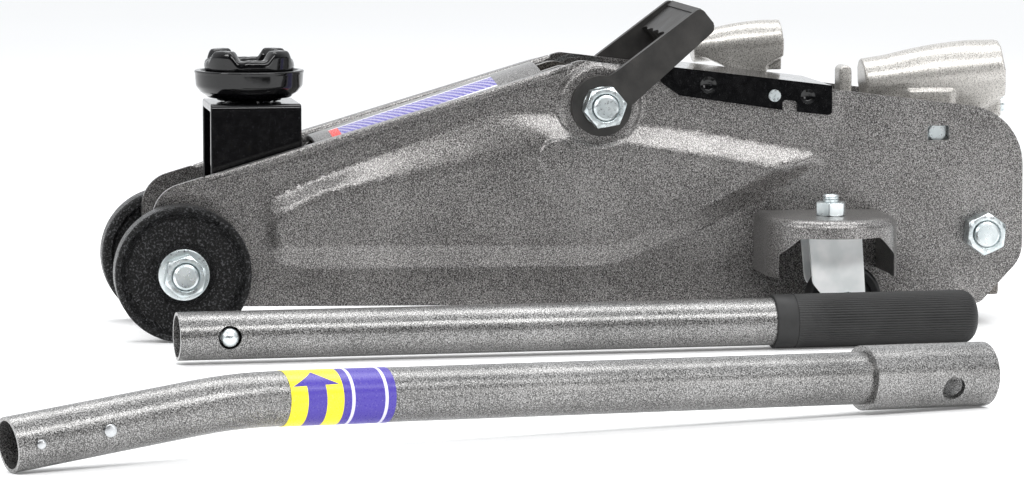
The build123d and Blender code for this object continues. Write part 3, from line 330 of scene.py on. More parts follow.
def lathe(shape, profile, origin, direction, steps=96, closed=True, carve=None):
    """Turn a profile of (along, radius) points round an axis; carve gives a depth cut off it."""
    along, first, second = axes_of(direction)
    origin = Vector(origin)
    points, rings = [], []
    for distance, radius in profile:
        if radius < 1e-6:
            rings.append([len(points)])
            points.append(origin + along * distance)
            continue
        rings.append(list(range(len(points), len(points) + steps)))
        for a in turns(steps):
            reach = radius - carve(distance, a) if carve else radius
            points.append(origin + along * distance + (first * cos(a) + second * sin(a)) * reach)
    faces = []
    pairs = list(zip(rings, rings[1:])) + ([(rings[-1], rings[0])] if closed else [])
    for one, two in pairs:
        for k in range(steps):
            n = (k + 1) % steps
            if len(one) == 1 and len(two) == 1:
                break
            if len(one) == 1:
                faces.append([one[0], two[k], two[n]])
            elif len(two) == 1:
                faces.append([one[k], two[0], one[n]])
            else:
                faces.append([one[k], two[k], two[n], one[n]])
    return shape.add(points, faces)


def inside(loop, x, y):
    """Even-odd test of arrays of points against a closed loop."""
    result = np.zeros(len(x), bool)
    for (x0, y0), (x1, y1) in zip(loop, loop[1:] + loop[:1]):
        if y0 == y1:
            continue
        crosses = ((y0 > y) != (y1 > y)) & (x < (x1 - x0) * (y - y0) / (y1 - y0) + x0)
        result ^= crosses
    return result


def flat_net(loops, spacing=None, extra=()):
    """Triangles that fill the first loop less the others.

    With a spacing, the extra points and a grid of points help to fill it."""
    def filled(x, y):
        keep = inside(loops[0], x, y)
        for loop in loops[1:]:
            keep &= ~inside(loop, x, y)
        return keep

    points = [p for loop in loops for p in loop]
    edges, start = [], 0
    for loop in loops:
        edges += [(start + i, start + (i + 1) % len(loop)) for i in range(len(loop))]
        start += len(loop)
    if spacing:
        spare = np.array(extra)
        points = points + [tuple(p) for p in spare[filled(spare[:, 0], spare[:, 1])]]
        rim = np.array(points)
        low, high = rim.min(0), rim.max(0)
        gx, gy = np.meshgrid(np.arange(low[0], high[0], spacing),
                             np.arange(low[1], high[1], spacing))
        gx[1::2] += spacing / 2
        gx, gy = gx.ravel(), gy.ravel()
        keep = filled(gx, gy)
        gx, gy = gx[keep], gy[keep]
        gap = np.full(len(gx), 1e9)
        for px, py in points:
            gap = np.minimum(gap, (gx - px) ** 2 + (gy - py) ** 2)
        keep = gap > (0.55 * spacing) ** 2
        points = points + list(zip(gx[keep], gy[keep]))
    result = delaunay_2d_cdt([Vector(p) for p in points], edges, [], 0, 1e-6, False)
    net, triangles = [(p.x, p.y) for p in result[0]], [list(t) for t in result[2]]
    centres = np.array([[sum(net[i][k] for i in t) / 3 for k in (0, 1)] for t in triangles])
    keep = filled(centres[:, 0], centres[:, 1])
    return net, [t for t, wanted in zip(triangles, keep) if wanted]


def skin(shape, net, triangles, near, far):
    """Closed sheet between two surfaces; near and far turn a net point into a point in space."""
    count = len(net)
    borders = {}
    for triangle in triangles:
        for i in range(3):
            edge = (triangle[i], triangle[(i + 1) % 3])
            borders[edge] = borders.get(edge, 0) + 1
    rim = [edge for edge in borders if edge[::-1] not in borders]
    faces = [list(t) for t in triangles] + [[i + count for i in reversed(t)] for t in triangles]
    faces += [[b, a, a + count, b + count] for a, b in rim]
    return shape.add([near(u, v) for u, v in net] + [far(u, v) for u, v in net], faces)


def plate(shape, loops, y_near, y_far):
    """Flat plate drawn in x and z between two y planes."""
    net, triangles = flat_net(loops)
    return skin(shape, net, triangles,
                lambda u, v: (u, y_near, v), lambda u, v: (u, y_far, v))


def circle(x, z, radius, steps=48):
    return [(x + radius * cos(a), z + radius * sin(a)) for a in turns(steps)]


def settle(obj):
    """Apply the modifiers."""
    bpy.context.view_layer.update()
    settled = obj.evaluated_get(bpy.context.evaluated_depsgraph_get())
    mesh = bpy.data.meshes.new_from_object(settled)
    obj.modifiers.clear()
    obj.data = mesh
    return mesh


def finish_mesh(obj, angle, flat_faces=False):
    """Apply the modifiers, then shade smooth up to an angle; flat faces stay flat if asked."""
    mesh = settle(obj)
    mesh.polygons.foreach_set("use_smooth", [True] * len(mesh.polygons))
    mesh.set_sharp_from_angle(angle=radians(angle))
    if flat_faces:
        even = obj.modifiers.new("even", "WEIGHTED_NORMAL")
        even.weight, even.keep_sharp = 90, True
        settle(obj)


def piece(name, shape, body, finish, *nodes, bevel=0.0, bevel_angle=50.0, smooth=38.0,
          steps=2):
    """Make a shape into an object that rides on a body and stands for CAD nodes."""
    mesh = bpy.data.meshes.new(name)
    mesh.from_pydata([at(*point) for point in shape.points], [], shape.faces)
    with editing(mesh) as work:
        bmesh.ops.remove_doubles(work, verts=work.verts, dist=1e-7)
        bmesh.ops.recalc_face_normals(work, faces=work.faces)
    obj = bpy.data.objects.new(name, mesh)
    return dress(obj, body, finish, nodes, bevel, bevel_angle, smooth, steps)


def dress(obj, body, finish, nodes, bevel=0.0, bevel_angle=50.0, smooth=38.0, steps=2):
    """Give a mesh its bevel, shading and finish, and tell the frame what it rides and replaces."""
    bpy.context.scene.collection.objects.link(obj)
    if bevel:
        edge = obj.modifiers.new("edge", "BEVEL")
        edge.width, edge.segments = bevel * MM, steps
        edge.limit_method, edge.angle_limit = "ANGLE", radians(bevel_angle)
    finish_mesh(obj, smooth, bool(bevel))
    obj.data.materials.clear()
    obj.data.materials.append(finishes[finish])
    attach(obj, body)
    if nodes:
        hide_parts(*nodes)
    return obj


def copy_of(node, suffix):
    """New object with the mesh of a CAD piece, its doubled corners joined."""
    mesh = frame["nodes"][node].data.copy()
    with editing(mesh) as work:
        bmesh.ops.remove_doubles(work, verts=work.verts, dist=1e-6)
    return bpy.data.objects.new(node + suffix, mesh)


def softened(node, width, bevel_angle=40.0, steps=2):
    """Copy of a CAD piece with its edges rounded as pressing, deburring and paint leave them."""
    obj = copy_of(node, "_finished")
    with editing(obj.data) as work:
        bmesh.ops.dissolve_limit(work, angle_limit=radians(0.4), verts=work.verts,
                                 edges=work.edges, use_dissolve_boundaries=False)
    return dress(obj, body_of[node], slot_of[node], [node], width, bevel_angle, steps=steps)


def cast(node, voxel, web=None, smoothing=8):
    """Copy of a CAD piece, with a web if given, and the soft corners and fillets of a casting."""
    obj = copy_of(node, "_casting")
    if web:
        with editing(obj.data) as work:
            corners = [work.verts.new(at(*point)) for point in web.points]
            added = [work.faces.new([corners[i] for i in face]) for face in web.faces]
            bmesh.ops.recalc_face_normals(work, faces=added)
    remesh = obj.modifiers.new("cast", "REMESH")
    remesh.mode, remesh.voxel_size, remesh.adaptivity = "VOXEL", voxel * MM, 0.0
    ease = obj.modifiers.new("ease", "SMOOTH")
    ease.factor, ease.iterations = 0.5, smoothing
    return dress(obj, body_of[node], slot_of[node], [node], smooth=60.0)


# ---------------------------------------------------------------- side plates
def smooth_step(value, low=0.0, high=1.0):
    """Rise from 0 to 1 between low and high, level at both ends."""
    t = np.clip((value - low) / (high - low), 0, 1)
    return t * t * (3 - 2 * t)


def ramp_up(value):
    """Slope with eased ends, as a pressed shoulder has."""
    t = np.clip(value, 0, 1)
    return 0.75 * t + 0.25 * t * t * (3 - 2 * t)


PLATE_INNER, PLATE_OUTER = 33.0, 36.0
RISE, FALL, PEAK_X, START_HEIGHT = radians(16.6), radians(7.0), 190.0, 72.6
BULGE_HEIGHT = 4.3
PAD_HEIGHT, PAD_RADIUS, PAD_FOOT = 3.0, 17.8, 21.0        # round pad at the arm shaft
BUTTON_X, BUTTON_Z = 178.0, 84.0                          # small round button in the bulge
BUTTON_HEIGHT, BUTTON_RADIUS, BUTTON_FOOT = 1.2, 7.2, 9.0
CREASE_STEP = 1.1


def top_front(x):
    """Height of the plate's rising front edge."""
    return START_HEIGHT + x * tan(RISE)


def top_rear(x):
    """Height of the plate's falling rear edge."""
    return top_front(PEAK_X) - (x - PEAK_X) * tan(FALL)


arm_shaft = middle("arm_pivot_shaft")
rear_bolt = middle("rear_bolt")
axle = middle("front_axle")

# Corners of the bulge's foot, and the shoulder's width along the edge that starts there.
# A width of 0 stands for the top edge, whose shoulder widens towards the rear.
bulge_corners = [
    ((52.0, 33.0), 10.0), ((205.0, 32.0), 10.0), ((245.0, 46.0), 10.0), ((306.0, 78.0), 9.0),
    ((313.0, 83.5), 9.0), ((300.0, 86.5), 12.0), ((222.0, 100.0), 12.0), ((150.0, 107.0), 0.0),
    ((52.0, 69.8), 8.5), ((43.0, 65.6), 8.0), ((39.0, 57.0), 8.0), ((40.0, 44.0), 9.0),
    ((44.5, 36.3), 10.0)]
bulge_edges = [(*start, *end, sqrt((end[0] - start[0]) ** 2 + (end[1] - start[1]) ** 2), width)
               for (start, width), (end, _) in zip(bulge_corners,
                                                   bulge_corners[1:] + bulge_corners[:1])]


def shoulder_at(x, width):
    """Width of the bulge's shoulder at a place."""
    return width or np.clip(7.5 + 0.18 * (x - 71), 6.0, 24.0)


def pressed_height(x, z):
    """How far the plate stands out, from the long bulge, the pivot pad and the round button."""
    x, z = np.asarray(x, float), np.asarray(z, float)
    missing = np.zeros_like(x)
    for x0, z0, x1, z1, length, width in bulge_edges:
        distance = ((x1 - x0) * (z - z0) - (z1 - z0) * (x - x0)) / length
        missing += np.clip(1 - distance / shoulder_at(x, width), 0, None) ** 6
    height = BULGE_HEIGHT * ramp_up(1 - missing ** (1 / 6))
    reach = np.hypot(x - arm_shaft.x, z - arm_shaft.z)
    height = PAD_HEIGHT + (height - PAD_HEIGHT) * smooth_step(reach, PAD_RADIUS, PAD_FOOT)
    reach = np.hypot(x - BUTTON_X, z - BUTTON_Z)
    return height + BUTTON_HEIGHT * (1 - smooth_step(reach, BUTTON_RADIUS, BUTTON_FOOT))


def side_plate(side):
    """One pressed side plate: sheet with bulge, holes and a top flange bent outwards."""
    flange_from, flange_to, drop = 15.0, 184.0, 3.0
    front, rear = -13.0, 404.6
    outline = rounded([
        (front, 15.0, 13.0), (front, top_front(front), 26.0),
        (flange_from - 4, top_front(flange_from - 4), 2.0),
        (flange_from, top_front(flange_from) - drop, 0.0),
        (flange_to, top_front(flange_to) - drop, 0.0),
        (flange_to + 2, top_front(flange_to + 2), 0.0), (PEAK_X, top_front(PEAK_X), 8.0),
        (rear, top_rear(rear), 29.0), (rear, 33.0, 16.0), (384.0, 11.0, 5.0)][::-1], step=6.0)
    outline = evenly(outline, 3.0)
    window = rounded([(358.0, 89.5, 1.0), (368.5, 89.5, 1.0), (368.5, 96.5, 1.0),
                      (358.0, 96.5, 1.0)])
    holes = [circle(bolt.x, bolt.z, 6.0) for bolt in (axle, arm_shaft, rear_bolt)]
    holes += [circle(283.0, top_rear(283.0) - 6.0, 2.0, 16), window]
    # points along every crease, so that the net bends there
    creases = [point for radius in (BUTTON_RADIUS, 7.7, 8.1, 8.5, BUTTON_FOOT)
               for point in circle(BUTTON_X, BUTTON_Z, radius, 40)]
    creases += [point for radius in (PAD_RADIUS, 18.8, 20.0, PAD_FOOT)
                for point in circle(arm_shaft.x, arm_shaft.z, radius, 90)]
    for x0, z0, x1, z1, length, width in bulge_edges:
        for k in range(int(length / CREASE_STEP)):
            x = x0 + (x1 - x0) * CREASE_STEP * k / length
            z = z0 + (z1 - z0) * CREASE_STEP * k / length
            shoulder = shoulder_at(x, width)
            if hypot(x - arm_shaft.x, z - arm_shaft.z) > PAD_FOOT + 1.5:
                creases += [(x, z), (x - (z1 - z0) / length * shoulder,
                                     z + (x1 - x0) / length * shoulder)]
    net, triangles = flat_net([outline] + holes, 2.2, creases)
    pressed = pressed_height([x for x, _ in net], [z for _, z in net])
    heights = {point: float(height) for point, height in zip(net, pressed)}
    shape = Shape()
    skin(shape, net, triangles,
         lambda u, v: (u, side * (PLATE_OUTER + heights[(u, v)]), v),
         lambda u, v: (u, side * (PLATE_INNER + heights[(u, v)]), v))
    # top flange: bend and lip, fading out at both ends
    stations = [flange_from - 3 + (flange_to + 4 - flange_from) * k / 60 for k in range(61)]
    rings = []
    for x in stations:
        from_end = min(x - stations[0], stations[-1] - x)
        reach = 0.3 + 5.7 * float(smooth_step(from_end, 0.0, 11.0))
        y_out, top = PLATE_OUTER + reach, top_front(x)
        section = rounded([
            (PLATE_INNER - 0.04, -4.6, 0.0), (PLATE_INNER - 0.04, 0.0, 2.6),
            (y_out, 0.0, 1.1), (y_out, -2.6, 1.1), (PLATE_OUTER + 0.04, -2.6, 1.6),
            (PLATE_OUTER + 0.04, -4.6, 0.0)], step=25.0)
        rings.append([(x, side * y, top + dz) for y, dz in section])
    tunnel(shape, rings)
    name = "side_plate_left" if side < 0 else "side_plate_right"
    piece(name + "_pressing", shape, "chassis", "hammered_grey_paint", name,
          bevel=0.5, smooth=50.0)


def evenly(loop, spacing):
    """Add points on the long edges of a loop."""
    out = []
    for (x0, y0), (x1, y1) in zip(loop, loop[1:] + loop[:1]):
        parts = max(1, int(sqrt((x1 - x0) ** 2 + (y1 - y0) ** 2) / spacing))
        out += [(x0 + (x1 - x0) * k / parts, y0 + (y1 - y0) * k / parts) for k in range(parts)]
    return out


def tunnel(shape, rings, caps=True):
    """Join rings of equal length into a closed solid."""
    count = len(rings[0])
    points = [point for ring in rings for point in ring]
    faces = []
    for r in range(len(rings) - 1):
        for k in range(count):
            n = (k + 1) % count
            here, there = r * count, (r + 1) * count
            faces.append([here + k, here + n, there + n, there + k])
    if caps:
        last = (len(rings) - 1) * count
        faces += [list(range(count))[::-1], list(range(last, last + count))]
    return shape.add(points, faces)


for side in (-1, 1):
    side_plate(side)


# ---------------------------------------------------------------- wheels, nuts, washers and shafts
def front_wheel(side):
    """Cast wheel: polished-looking rim, deep rough dish and a hub."""
    low, high = span("front_wheel_left")
    inner, outer, radius = -high.y, -low.y, (high.z - low.z) / 2
    profile = rounded([
        (inner, 6.05, 0.5), (inner, 13.0, 0.6), (inner + 5, 13.6, 1.4), (inner + 5, 26.4, 1.4),
        (inner, 27.2, 0.8), (inner, radius, 2.2), (outer, radius, 2.4), (outer, 29.3, 0.9),
        (outer - 1.6, 28.3, 0.8), (outer - 4.6, 25.8, 2.2), (outer - 5.0, 15.4, 2.4),
        (outer - 1.0, 12.7, 1.2), (outer, 12.2, 0.6), (outer, 6.05, 0.4)], step=22.0)
    shape = lathe(Shape(), profile, (axle.x, 0, axle.z), (0, side, 0), 128)
    name = "front_wheel_left" if side < 0 else "front_wheel_right"
    piece(name + "_casting", shape, body_of[name], "black_cast_iron", name)


def hex_nut(shape, origin, direction, flats, height, bore, start=0.0, both=True):
    """Hexagon nut or head with turned chamfers; a bore of 0 makes a solid head."""
    along, first, second = axes_of(direction)
    origin, steps, half = Vector(origin), 72, flats / 2
    chamfer = tan(radians(28))
    rows = []
    for a in turns(steps):
        local = (a + start + pi / 6) % (pi / 3) - pi / 6
        corner = half / cos(local)
        cut = (corner - half * 0.97) * chamfer
        top = height - cut
        bottom = cut if both else 0.0
        row = [(bottom, corner), (top, corner), (height, half * 0.955)]
        if bore:
            row += [(height, bore + 0.9), (height - 0.9, bore), (0.6, bore), (0.0, bore + 0.6)]
        row += [(0.0, half * 0.955)]
        spin = first * cos(a) + second * sin(a)
        rows.append([origin + along * d + spin * r for d, r in row])
    points = [p for row in rows for p in row]
    width, faces = len(rows[0]), []
    if not bore:
        points += [origin + along * height, origin]
    centres = steps * width
    for k in range(steps):
        a, b = k * width, (k + 1) % steps * width
        for j in range(width):
            m = (j + 1) % width
            if j == 2 and not bore:
                faces += [[a + j, b + j, centres], [b + m, a + m, centres + 1]]
            else:
                faces.append([a + j, b + j, b + m, a + m])
    return shape.add(points, faces)


NUT_FLATS, NUT_HEIGHT, STICK_OUT, WASHER, M12 = 18.0, 10.0, 2.0, 2.0, 6.0
# How far each pair of nuts is turned, and the radius of the washers under them; none at the rear.
SHAFTS = {"front_axle": (0.2, 12.0), "arm_pivot_shaft": (0.35, 9.3), "rear_bolt": (0.1, None)}


def washer(shape, origin, direction, edge, thickness):
    """Turned washer that starts at the origin; a negative thickness goes the other way."""
    ring = rounded([(0, 6.1, 0.2), (0, edge, 0.35), (thickness, edge, 0.35),
                    (thickness, 6.1, 0.2)], step=30)
    lathe(shape, ring, origin, direction, 72)


def shafts_and_nuts():
    """Threaded shafts across the chassis with their nuts and washers."""
    nuts, washers = Shape(), Shape()
    for node, (turn, edge) in SHAFTS.items():
        centre, half = middle(node), span(node)[1].y
        seat = half - NUT_HEIGHT - STICK_OUT
        thread = []
        for k in range(9):
            s = half - 1.0 - 1.4 * k
            thread += [(s, 5.95), (s - 0.7, 5.45)]
        profile = [(half, 0.0), (half, 4.9), (half - 0.15, 5.15)] + thread
        profile = profile + [(-s, r) for s, r in reversed(profile)]
        bolt = lathe(Shape(), profile, centre, (0, 1, 0), 64, closed=False)
        piece(node + "_turned", bolt, "chassis", "bright_zinc", node, smooth=30.0)
        for side in (-1, 1):
            origin = (centre.x, side * seat, centre.z)
            hex_nut(nuts, origin, (0, side, 0), NUT_FLATS, NUT_HEIGHT, M12, turn)
            if edge:
                washer(washers, origin, (0, side, 0), edge, -WASHER)
    for side in (-1, 1):
        washer(washers, (axle.x, side * PLATE_OUTER, axle.z), (0, side, 0), 12.0, WASHER)
    piece("m12_nuts_chamfered", nuts, "chassis", "bright_zinc", "m12_nuts",
          smooth=25.0, bevel=0.25, bevel_angle=35)
    piece("m12_washers_turned", washers, "chassis", "bright_zinc", "m12_washers")


for side in (-1, 1):
    front_wheel(side)
shafts_and_nuts()


CASTER_Y = 68.0


def caster_hardware():
    """King bolts and nuts on top of the two brackets."""
    nuts, bolts = Shape(), Shape()
    low, high = span("caster_king_nuts")
    bottom, top = [corner.z for corner in span("caster_king_bolts")]
    centre_x, flats, head, start, pitch = (low.x + high.x) / 2, 13.0, 5.0, 0.7, 1.25
    for side in (-1, 1):
        centre_y = side * CASTER_Y
        hex_nut(nuts, (centre_x, centre_y, low.z), (0, 0, 1), flats, high.z - low.z, 4.0, 0.3)
        hex_nut(bolts, (centre_x, centre_y, bottom + head), (0, 0, -1), flats, head, 0.0, 0.1,
                both=False)
        profile = [(top, 0.0), (top, 3.2), (top - 0.5, 3.8)]
        for k in range(9):
            profile += [(top - start - pitch * k, 3.98), (top - 1.3 - pitch * k, 3.6)]
        profile += [(bottom + head, 3.95), (bottom + head, 0.0)]
        lathe(bolts, profile, (centre_x, centre_y, 0.0), (0, 0, 1), 48, closed=False)
    piece("caster_king_nuts_chamfered", nuts, "chassis", "bright_zinc", "caster_king_nuts",
          smooth=25.0)
    piece("caster_king_bolts_turned", bolts, "chassis", "bright_zinc", "caster_king_bolts",
          smooth=30.0)


caster_hardware()


# ---------------------------------------------------------------- saddle
def saddle():
    """Turned cup with its weld beads, and the crown with four notches."""
    low, high = span("saddle_cup")
    centre = middle("saddle_cup")
    rim, radius = high.z, (high.x - low.x) / 2
    foot = span("saddle_post")[1].z
    bowl_floor = span("saddle_crown")[0].z
    profile = rounded([
        (low.z, 0.0, 0.0), (low.z, 10.0, 0.6), (foot + 0.4, 10.0, 0.0), (foot + 0.5, 11.4, 0.3),
        (foot + 1.4, 12.0, 0.5), (foot + 2.0, 19.5, 1.5), (foot + 4.6, 23.2, 2.0),
        (foot + 7.4, radius - 0.9, 2.5), (rim - 1.8, radius - 0.5, 0.6), (rim, radius, 0.7),
        (rim, radius - 3.0, 0.7), (bowl_floor + 1.0, radius - 3.9, 1.2),
        (bowl_floor, 20.0, 0.6), (bowl_floor, 0.0, 0.0)], closed=False, step=18.0)
    cup = lathe(Shape(), profile, (centre.x, centre.y, 0), (0, 0, 1), 128, closed=False)
    # weld beads round the neck
    steps, tube_steps = 144, 12
    rings = []
    for a in turns(steps):
        lump = 0.75 + 0.35 * sin(19 * a) + 0.3 * noise.noise(Vector((3 * cos(a), 3 * sin(a), 1.0)))
        ring_radius = 0.55 + 0.5 * max(0.0, lump)
        ring = []
        for b in turns(tube_steps):
            r = 13.6 + ring_radius * 1.7 * cos(b)
            ring.append((centre.x + r * cos(a), centre.y + r * sin(a),
                         foot + 1.35 + ring_radius * sin(b) * 0.9))
        rings.append(ring)
    tunnel(cup, rings + [rings[0]], caps=False)
    piece("saddle_cup_turned", cup, "saddle", "gloss_black_enamel", "saddle_cup")

    crown_low, crown_high = span("saddle_crown")
    outer, inner, top = (crown_high.x - crown_low.x) / 2, 13.0, crown_high.z
    rings = []
    for a in turns(192):
        away = abs((a + pi / 4) % (pi / 2) - pi / 4) * 18.0     # from the nearest notch's middle
        notch = 1 - float(smooth_step(away, 5.6, 10.4))
        rough = 0.35 * noise.noise(Vector((6 * cos(a), 6 * sin(a), 0.0)))
        peak = top - 0.45 - 4.4 * notch + rough * (0.4 + notch)
        section = rounded([
            (inner, crown_low.z, 0.0), (outer, crown_low.z, 0.8),
            (outer - 1.1, crown_low.z + 3.4, 1.5),
            (outer - 0.05, peak - 3.2, 2.5), (outer - 0.6, peak, 1.9), (inner + 2.2, peak, 1.9),
            (inner + 0.6, peak - 3.0, 2.0)], step=22.0)
        rings.append([(centre.x + r * cos(a), centre.y + r * sin(a), z) for r, z in section])
    crown = tunnel(Shape(), rings + [rings[0]], caps=False)
    piece("saddle_crown_cast", crown, "saddle", "gloss_black_enamel", "saddle_crown",
          smooth=50.0)


saddle()
softened("saddle_post", 1.0, steps=3)


# ---------------------------------------------------------------- carry handle
def carry_handle():
    """Moulded handle: flat arms, boxed grip open on top and a scalloped finger edge."""
    turn = radians(39.0)
    inner, outer = 39.3, 44.3
    pivot = arm_shaft

    def lay(along, above):
        return (pivot.x + along * cos(turn) - above * sin(turn),
                pivot.z + along * sin(turn) + above * cos(turn))

    eye_ends = np.linspace(radians(38), radians(322), 60)
    eye = [(14.3 * cos(a), 14.3 * sin(a), 0.0) for a in eye_ends]
    arm = rounded(eye + [(16.0, -8.6, 4.0), (64.0, -6.5, 3.0), (66.0, -3.5, 1.5),
                         (66.0, 6.3, 2.8), (16.0, 8.3, 4.0)], step=15.0)
    shape = Shape()
    for side in (-1, 1):
        loops = [[lay(u, v) for u, v in arm], circle(pivot.x, pivot.z, 6.1)]
        plate(shape, loops, side * inner, side * outer)
    # floor of the grip between the arms, with five finger scallops on its front edge
    width, grip_back, fingers, bottom, top = inner + 0.5, 63.0, 5, -5.5, 4.4
    waves = np.linspace(-width, width, 81)
    front = [(46.0 + 1.6 * abs(sin(pi * (y + width) / (2 * width) * fingers)), y) for y in waves]
    back = [(grip_back, y) for y in waves]
    net, triangles = flat_net([front + back[::-1]])
    skin(shape, net, triangles, lambda u, v: (lay(u, bottom)[0], v, lay(u, bottom)[1]),
         lambda u, v: (lay(u, top)[0], v, lay(u, top)[1]))
    wall = [lay(62.5, -5.6), lay(65.9, -5.6), lay(65.9, 5.2), lay(62.5, 5.2)]
    plate(shape, [wall], -width, width)
    piece("carry_handle_moulding", shape, "carry", "charcoal_plastic", "carry_handle",
          bevel=0.7, bevel_angle=40, steps=3)


carry_handle()


# ---------------------------------------------------------------- handle
LOWER_HEADING, UPPER_HEADING, TIP_RISE = 20.0, 5.0, 6.9       # degrees
TUBE_RADIUS, UPPER_LENGTH, GRIP_OVERLAP = 11.0, 366.0, 88.0


def grip():
    """Ribbed rubber grip: smooth collar, fine lengthwise ribs and a rounded closed end."""
    low, high = span("handle_grip")
    heading = radians(UPPER_HEADING)
    along = Vector((cos(heading), sin(heading), 0))
    tube_low = span("upper_handle_tube")[0]
    radius, length, collar, ribs, nose_round = (high.z - low.z) / 2, 98.0, 9.0, 64, 7.0
    mouth = Vector((tube_low.x + TUBE_RADIUS * sin(heading),
                    tube_low.y + TUBE_RADIUS * cos(heading), radius))
    start = mouth + along * (UPPER_LENGTH - GRIP_OVERLAP)
    rows = [(0.0, 11.05), (0.0, 12.0), (0.6, 12.5), (collar, 12.55), (collar + 1.2, 12.3)]
    body_rows = [(collar + 1.2 + k * (length - collar - 9.0) / 10, 12.55) for k in range(11)]
    nose = [(length - nose_round + nose_round * sin(a), 5.6 + nose_round * cos(a))
            for a in np.linspace(0, pi / 2, 9)]
    rows = rows + body_rows + nose + [(length, 3.0), (length, 0.0)]

    def rib_depth(s, a):
        fade = float(smooth_step(s, collar + 1.0, collar + 2.5))
        fade = fade * (1 - float(smooth_step(s, length - 5.0, length - 1.0)))
        wave = 0.5 - 0.5 * cos(ribs * a)
        return 0.42 * fade * (1 - wave ** 0.6)

    steps = ribs * 6
    shape = lathe(Shape(), rows, start, along, steps, closed=False, carve=rib_depth)
    depth = GRIP_OVERLAP + 0.2
    inner = [(0.0, TUBE_RADIUS), (depth, TUBE_RADIUS), (depth, 0.0)]
    lathe(shape, inner, start, along, steps, closed=False)
    piece("handle_grip_ribbed", shape, "upper_handle", "grip_rubber", "handle_grip", smooth=60.0)


grip()


# ---------------------------------------------------------------- pressed, folded, cast pieces
EDGE_WIDTHS = {
    0.6: ("arm_cover",), 0.45: ("cover_plate",),
    0.5: ("caster_bracket_left", "caster_bracket_right", "arm_plate_left", "arm_plate_right"),
    0.4: ("caster_fork_left", "caster_fork_right", "levelling_link"), 0.35: ("handle_sleeve",),
    0.25: ("upper_handle_tube", "lower_handle_tube")}
for width, nodes in EDGE_WIDTHS.items():
    for node in nodes:
        softened(node, width)
# The forks are dull galvanised sheet: that finish is drawn, and their slot stays the record's.
for obj in bpy.data.objects:
    if obj.name.startswith("caster_fork") and obj.name.endswith("_finished"):
        obj.data.materials[0] = finishes["galvanised_sheet"]


HOOD_RADIUS, HOOD_SLOPE = 14.1, radians(5.6)
CUP_SCALE, CUP_Y = 0.66, 57.0
# How far behind the mouth a section of the web lies, its half width, its top and its bottom.
WEB_SECTIONS = ((67.5, 9.0, -7.0, -13.0), (60.0, 11.6, -5.6, -13.6), (45.0, 12.6, -4.2, -20.6),
                (16.0, 13.7, -1.6, -20.8), (0.8, 13.8, 0.0, -12.6))


def hood_web(node, size, centre_y):
    """Solid web under a cast cup's hood and a low arch on it; size scales the whole casting."""
    mouth, axis_z = span(node)[1].x, span(node)[1].z - HOOD_RADIUS * size
    rings = []
    for back, half, top, bottom in WEB_SECTIONS:
        corners = ((-half, top), (half, top), (half - 1.0, bottom), (1.0 - half, bottom))
        rings.append([(mouth - back * size, centre_y + y * size, axis_z + z * size)
                      for y, z in corners])
    shape = tunnel(Shape(), rings)
    arch_from, arch_to, arch_height = 3.0, 64.0, 2.0
    sweep = np.linspace(radians(15), radians(165), 14)
    sweep_back = np.linspace(radians(165), radians(15), 14)
    rings = []
    for back in np.linspace(arch_from, arch_to, 24):
        radius = HOOD_RADIUS - 2.6 * max(0.0, back - 16.0) / 52.0
        arch = arch_height * sin(pi * (back - arch_from) / (arch_to - arch_from))
        outer = [(radius + arch * sin(a) ** 2, a) for a in sweep]
        inner = [(radius - 1.0, a) for a in sweep_back]
        rings.append([(mouth - back * size, centre_y + size * r * cos(a),
                       axis_z + size * (r * sin(a) - back * tan(HOOD_SLOPE)))
                      for r, a in outer + inner])
    return tunnel(shape, rings)


cast("handle_socket", 0.7, hood_web("handle_socket", 1.0, 0.0))
cast("stowage_cup", 0.6, hood_web("stowage_cup", CUP_SCALE, CUP_Y))
cast("pump_base", 1.0)


def plunger_spring():
    """Return spring of the plunger: a copy of its CAD coil, with a mesh of its own."""
    obj = dress(copy_of("plunger_spring", "_coil"), body_of["plunger_spring"], "spring_steel",
                ["plunger_spring"])
    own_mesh(obj)


plunger_spring()


def tip_pins():
    """Domed ends of the two pins at the bent tube's tip, standing a little proud of the paint."""
    low = span("lower_handle_tube")[0]
    heading, rise = radians(LOWER_HEADING), radians(TIP_RISE)
    along = Vector((cos(heading) * cos(rise), sin(heading) * cos(rise), sin(rise)))
    side_axis = Vector((sin(heading), -cos(heading), 0))
    tip = Vector((low.x + TUBE_RADIUS * sqrt(1 - along.x ** 2),
                  low.y + TUBE_RADIUS * sqrt(1 - along.y ** 2), TUBE_RADIUS * cos(rise)))
    stem, height = 1.1, 0.4
    shape = Shape()
    for distance, size in ((9.0, 1.7), (38.0, 2.4)):
        dome = [(-1.0, 0.0), (-1.0, size + 0.15), (stem, size + 0.15)]
        dome += [(stem + height * sin(a), (size + 0.1) * cos(a))
                 for a in np.linspace(0.3, pi / 2, 7)[:-1]]
        dome.append((1.5, 0.0))
        foot = tip + along * distance + side_axis * (TUBE_RADIUS - 0.15)
        lathe(shape, dome, foot, side_axis, 40, closed=False)
    piece("lower_handle_tip_pins", shape, "lower_handle", "machined_steel", smooth=35.0)


tip_pins()


COVER_HOLES, COVER_HOLE_DROP = ((251.2, 3.9), (299.3, 3.5)), 4.6


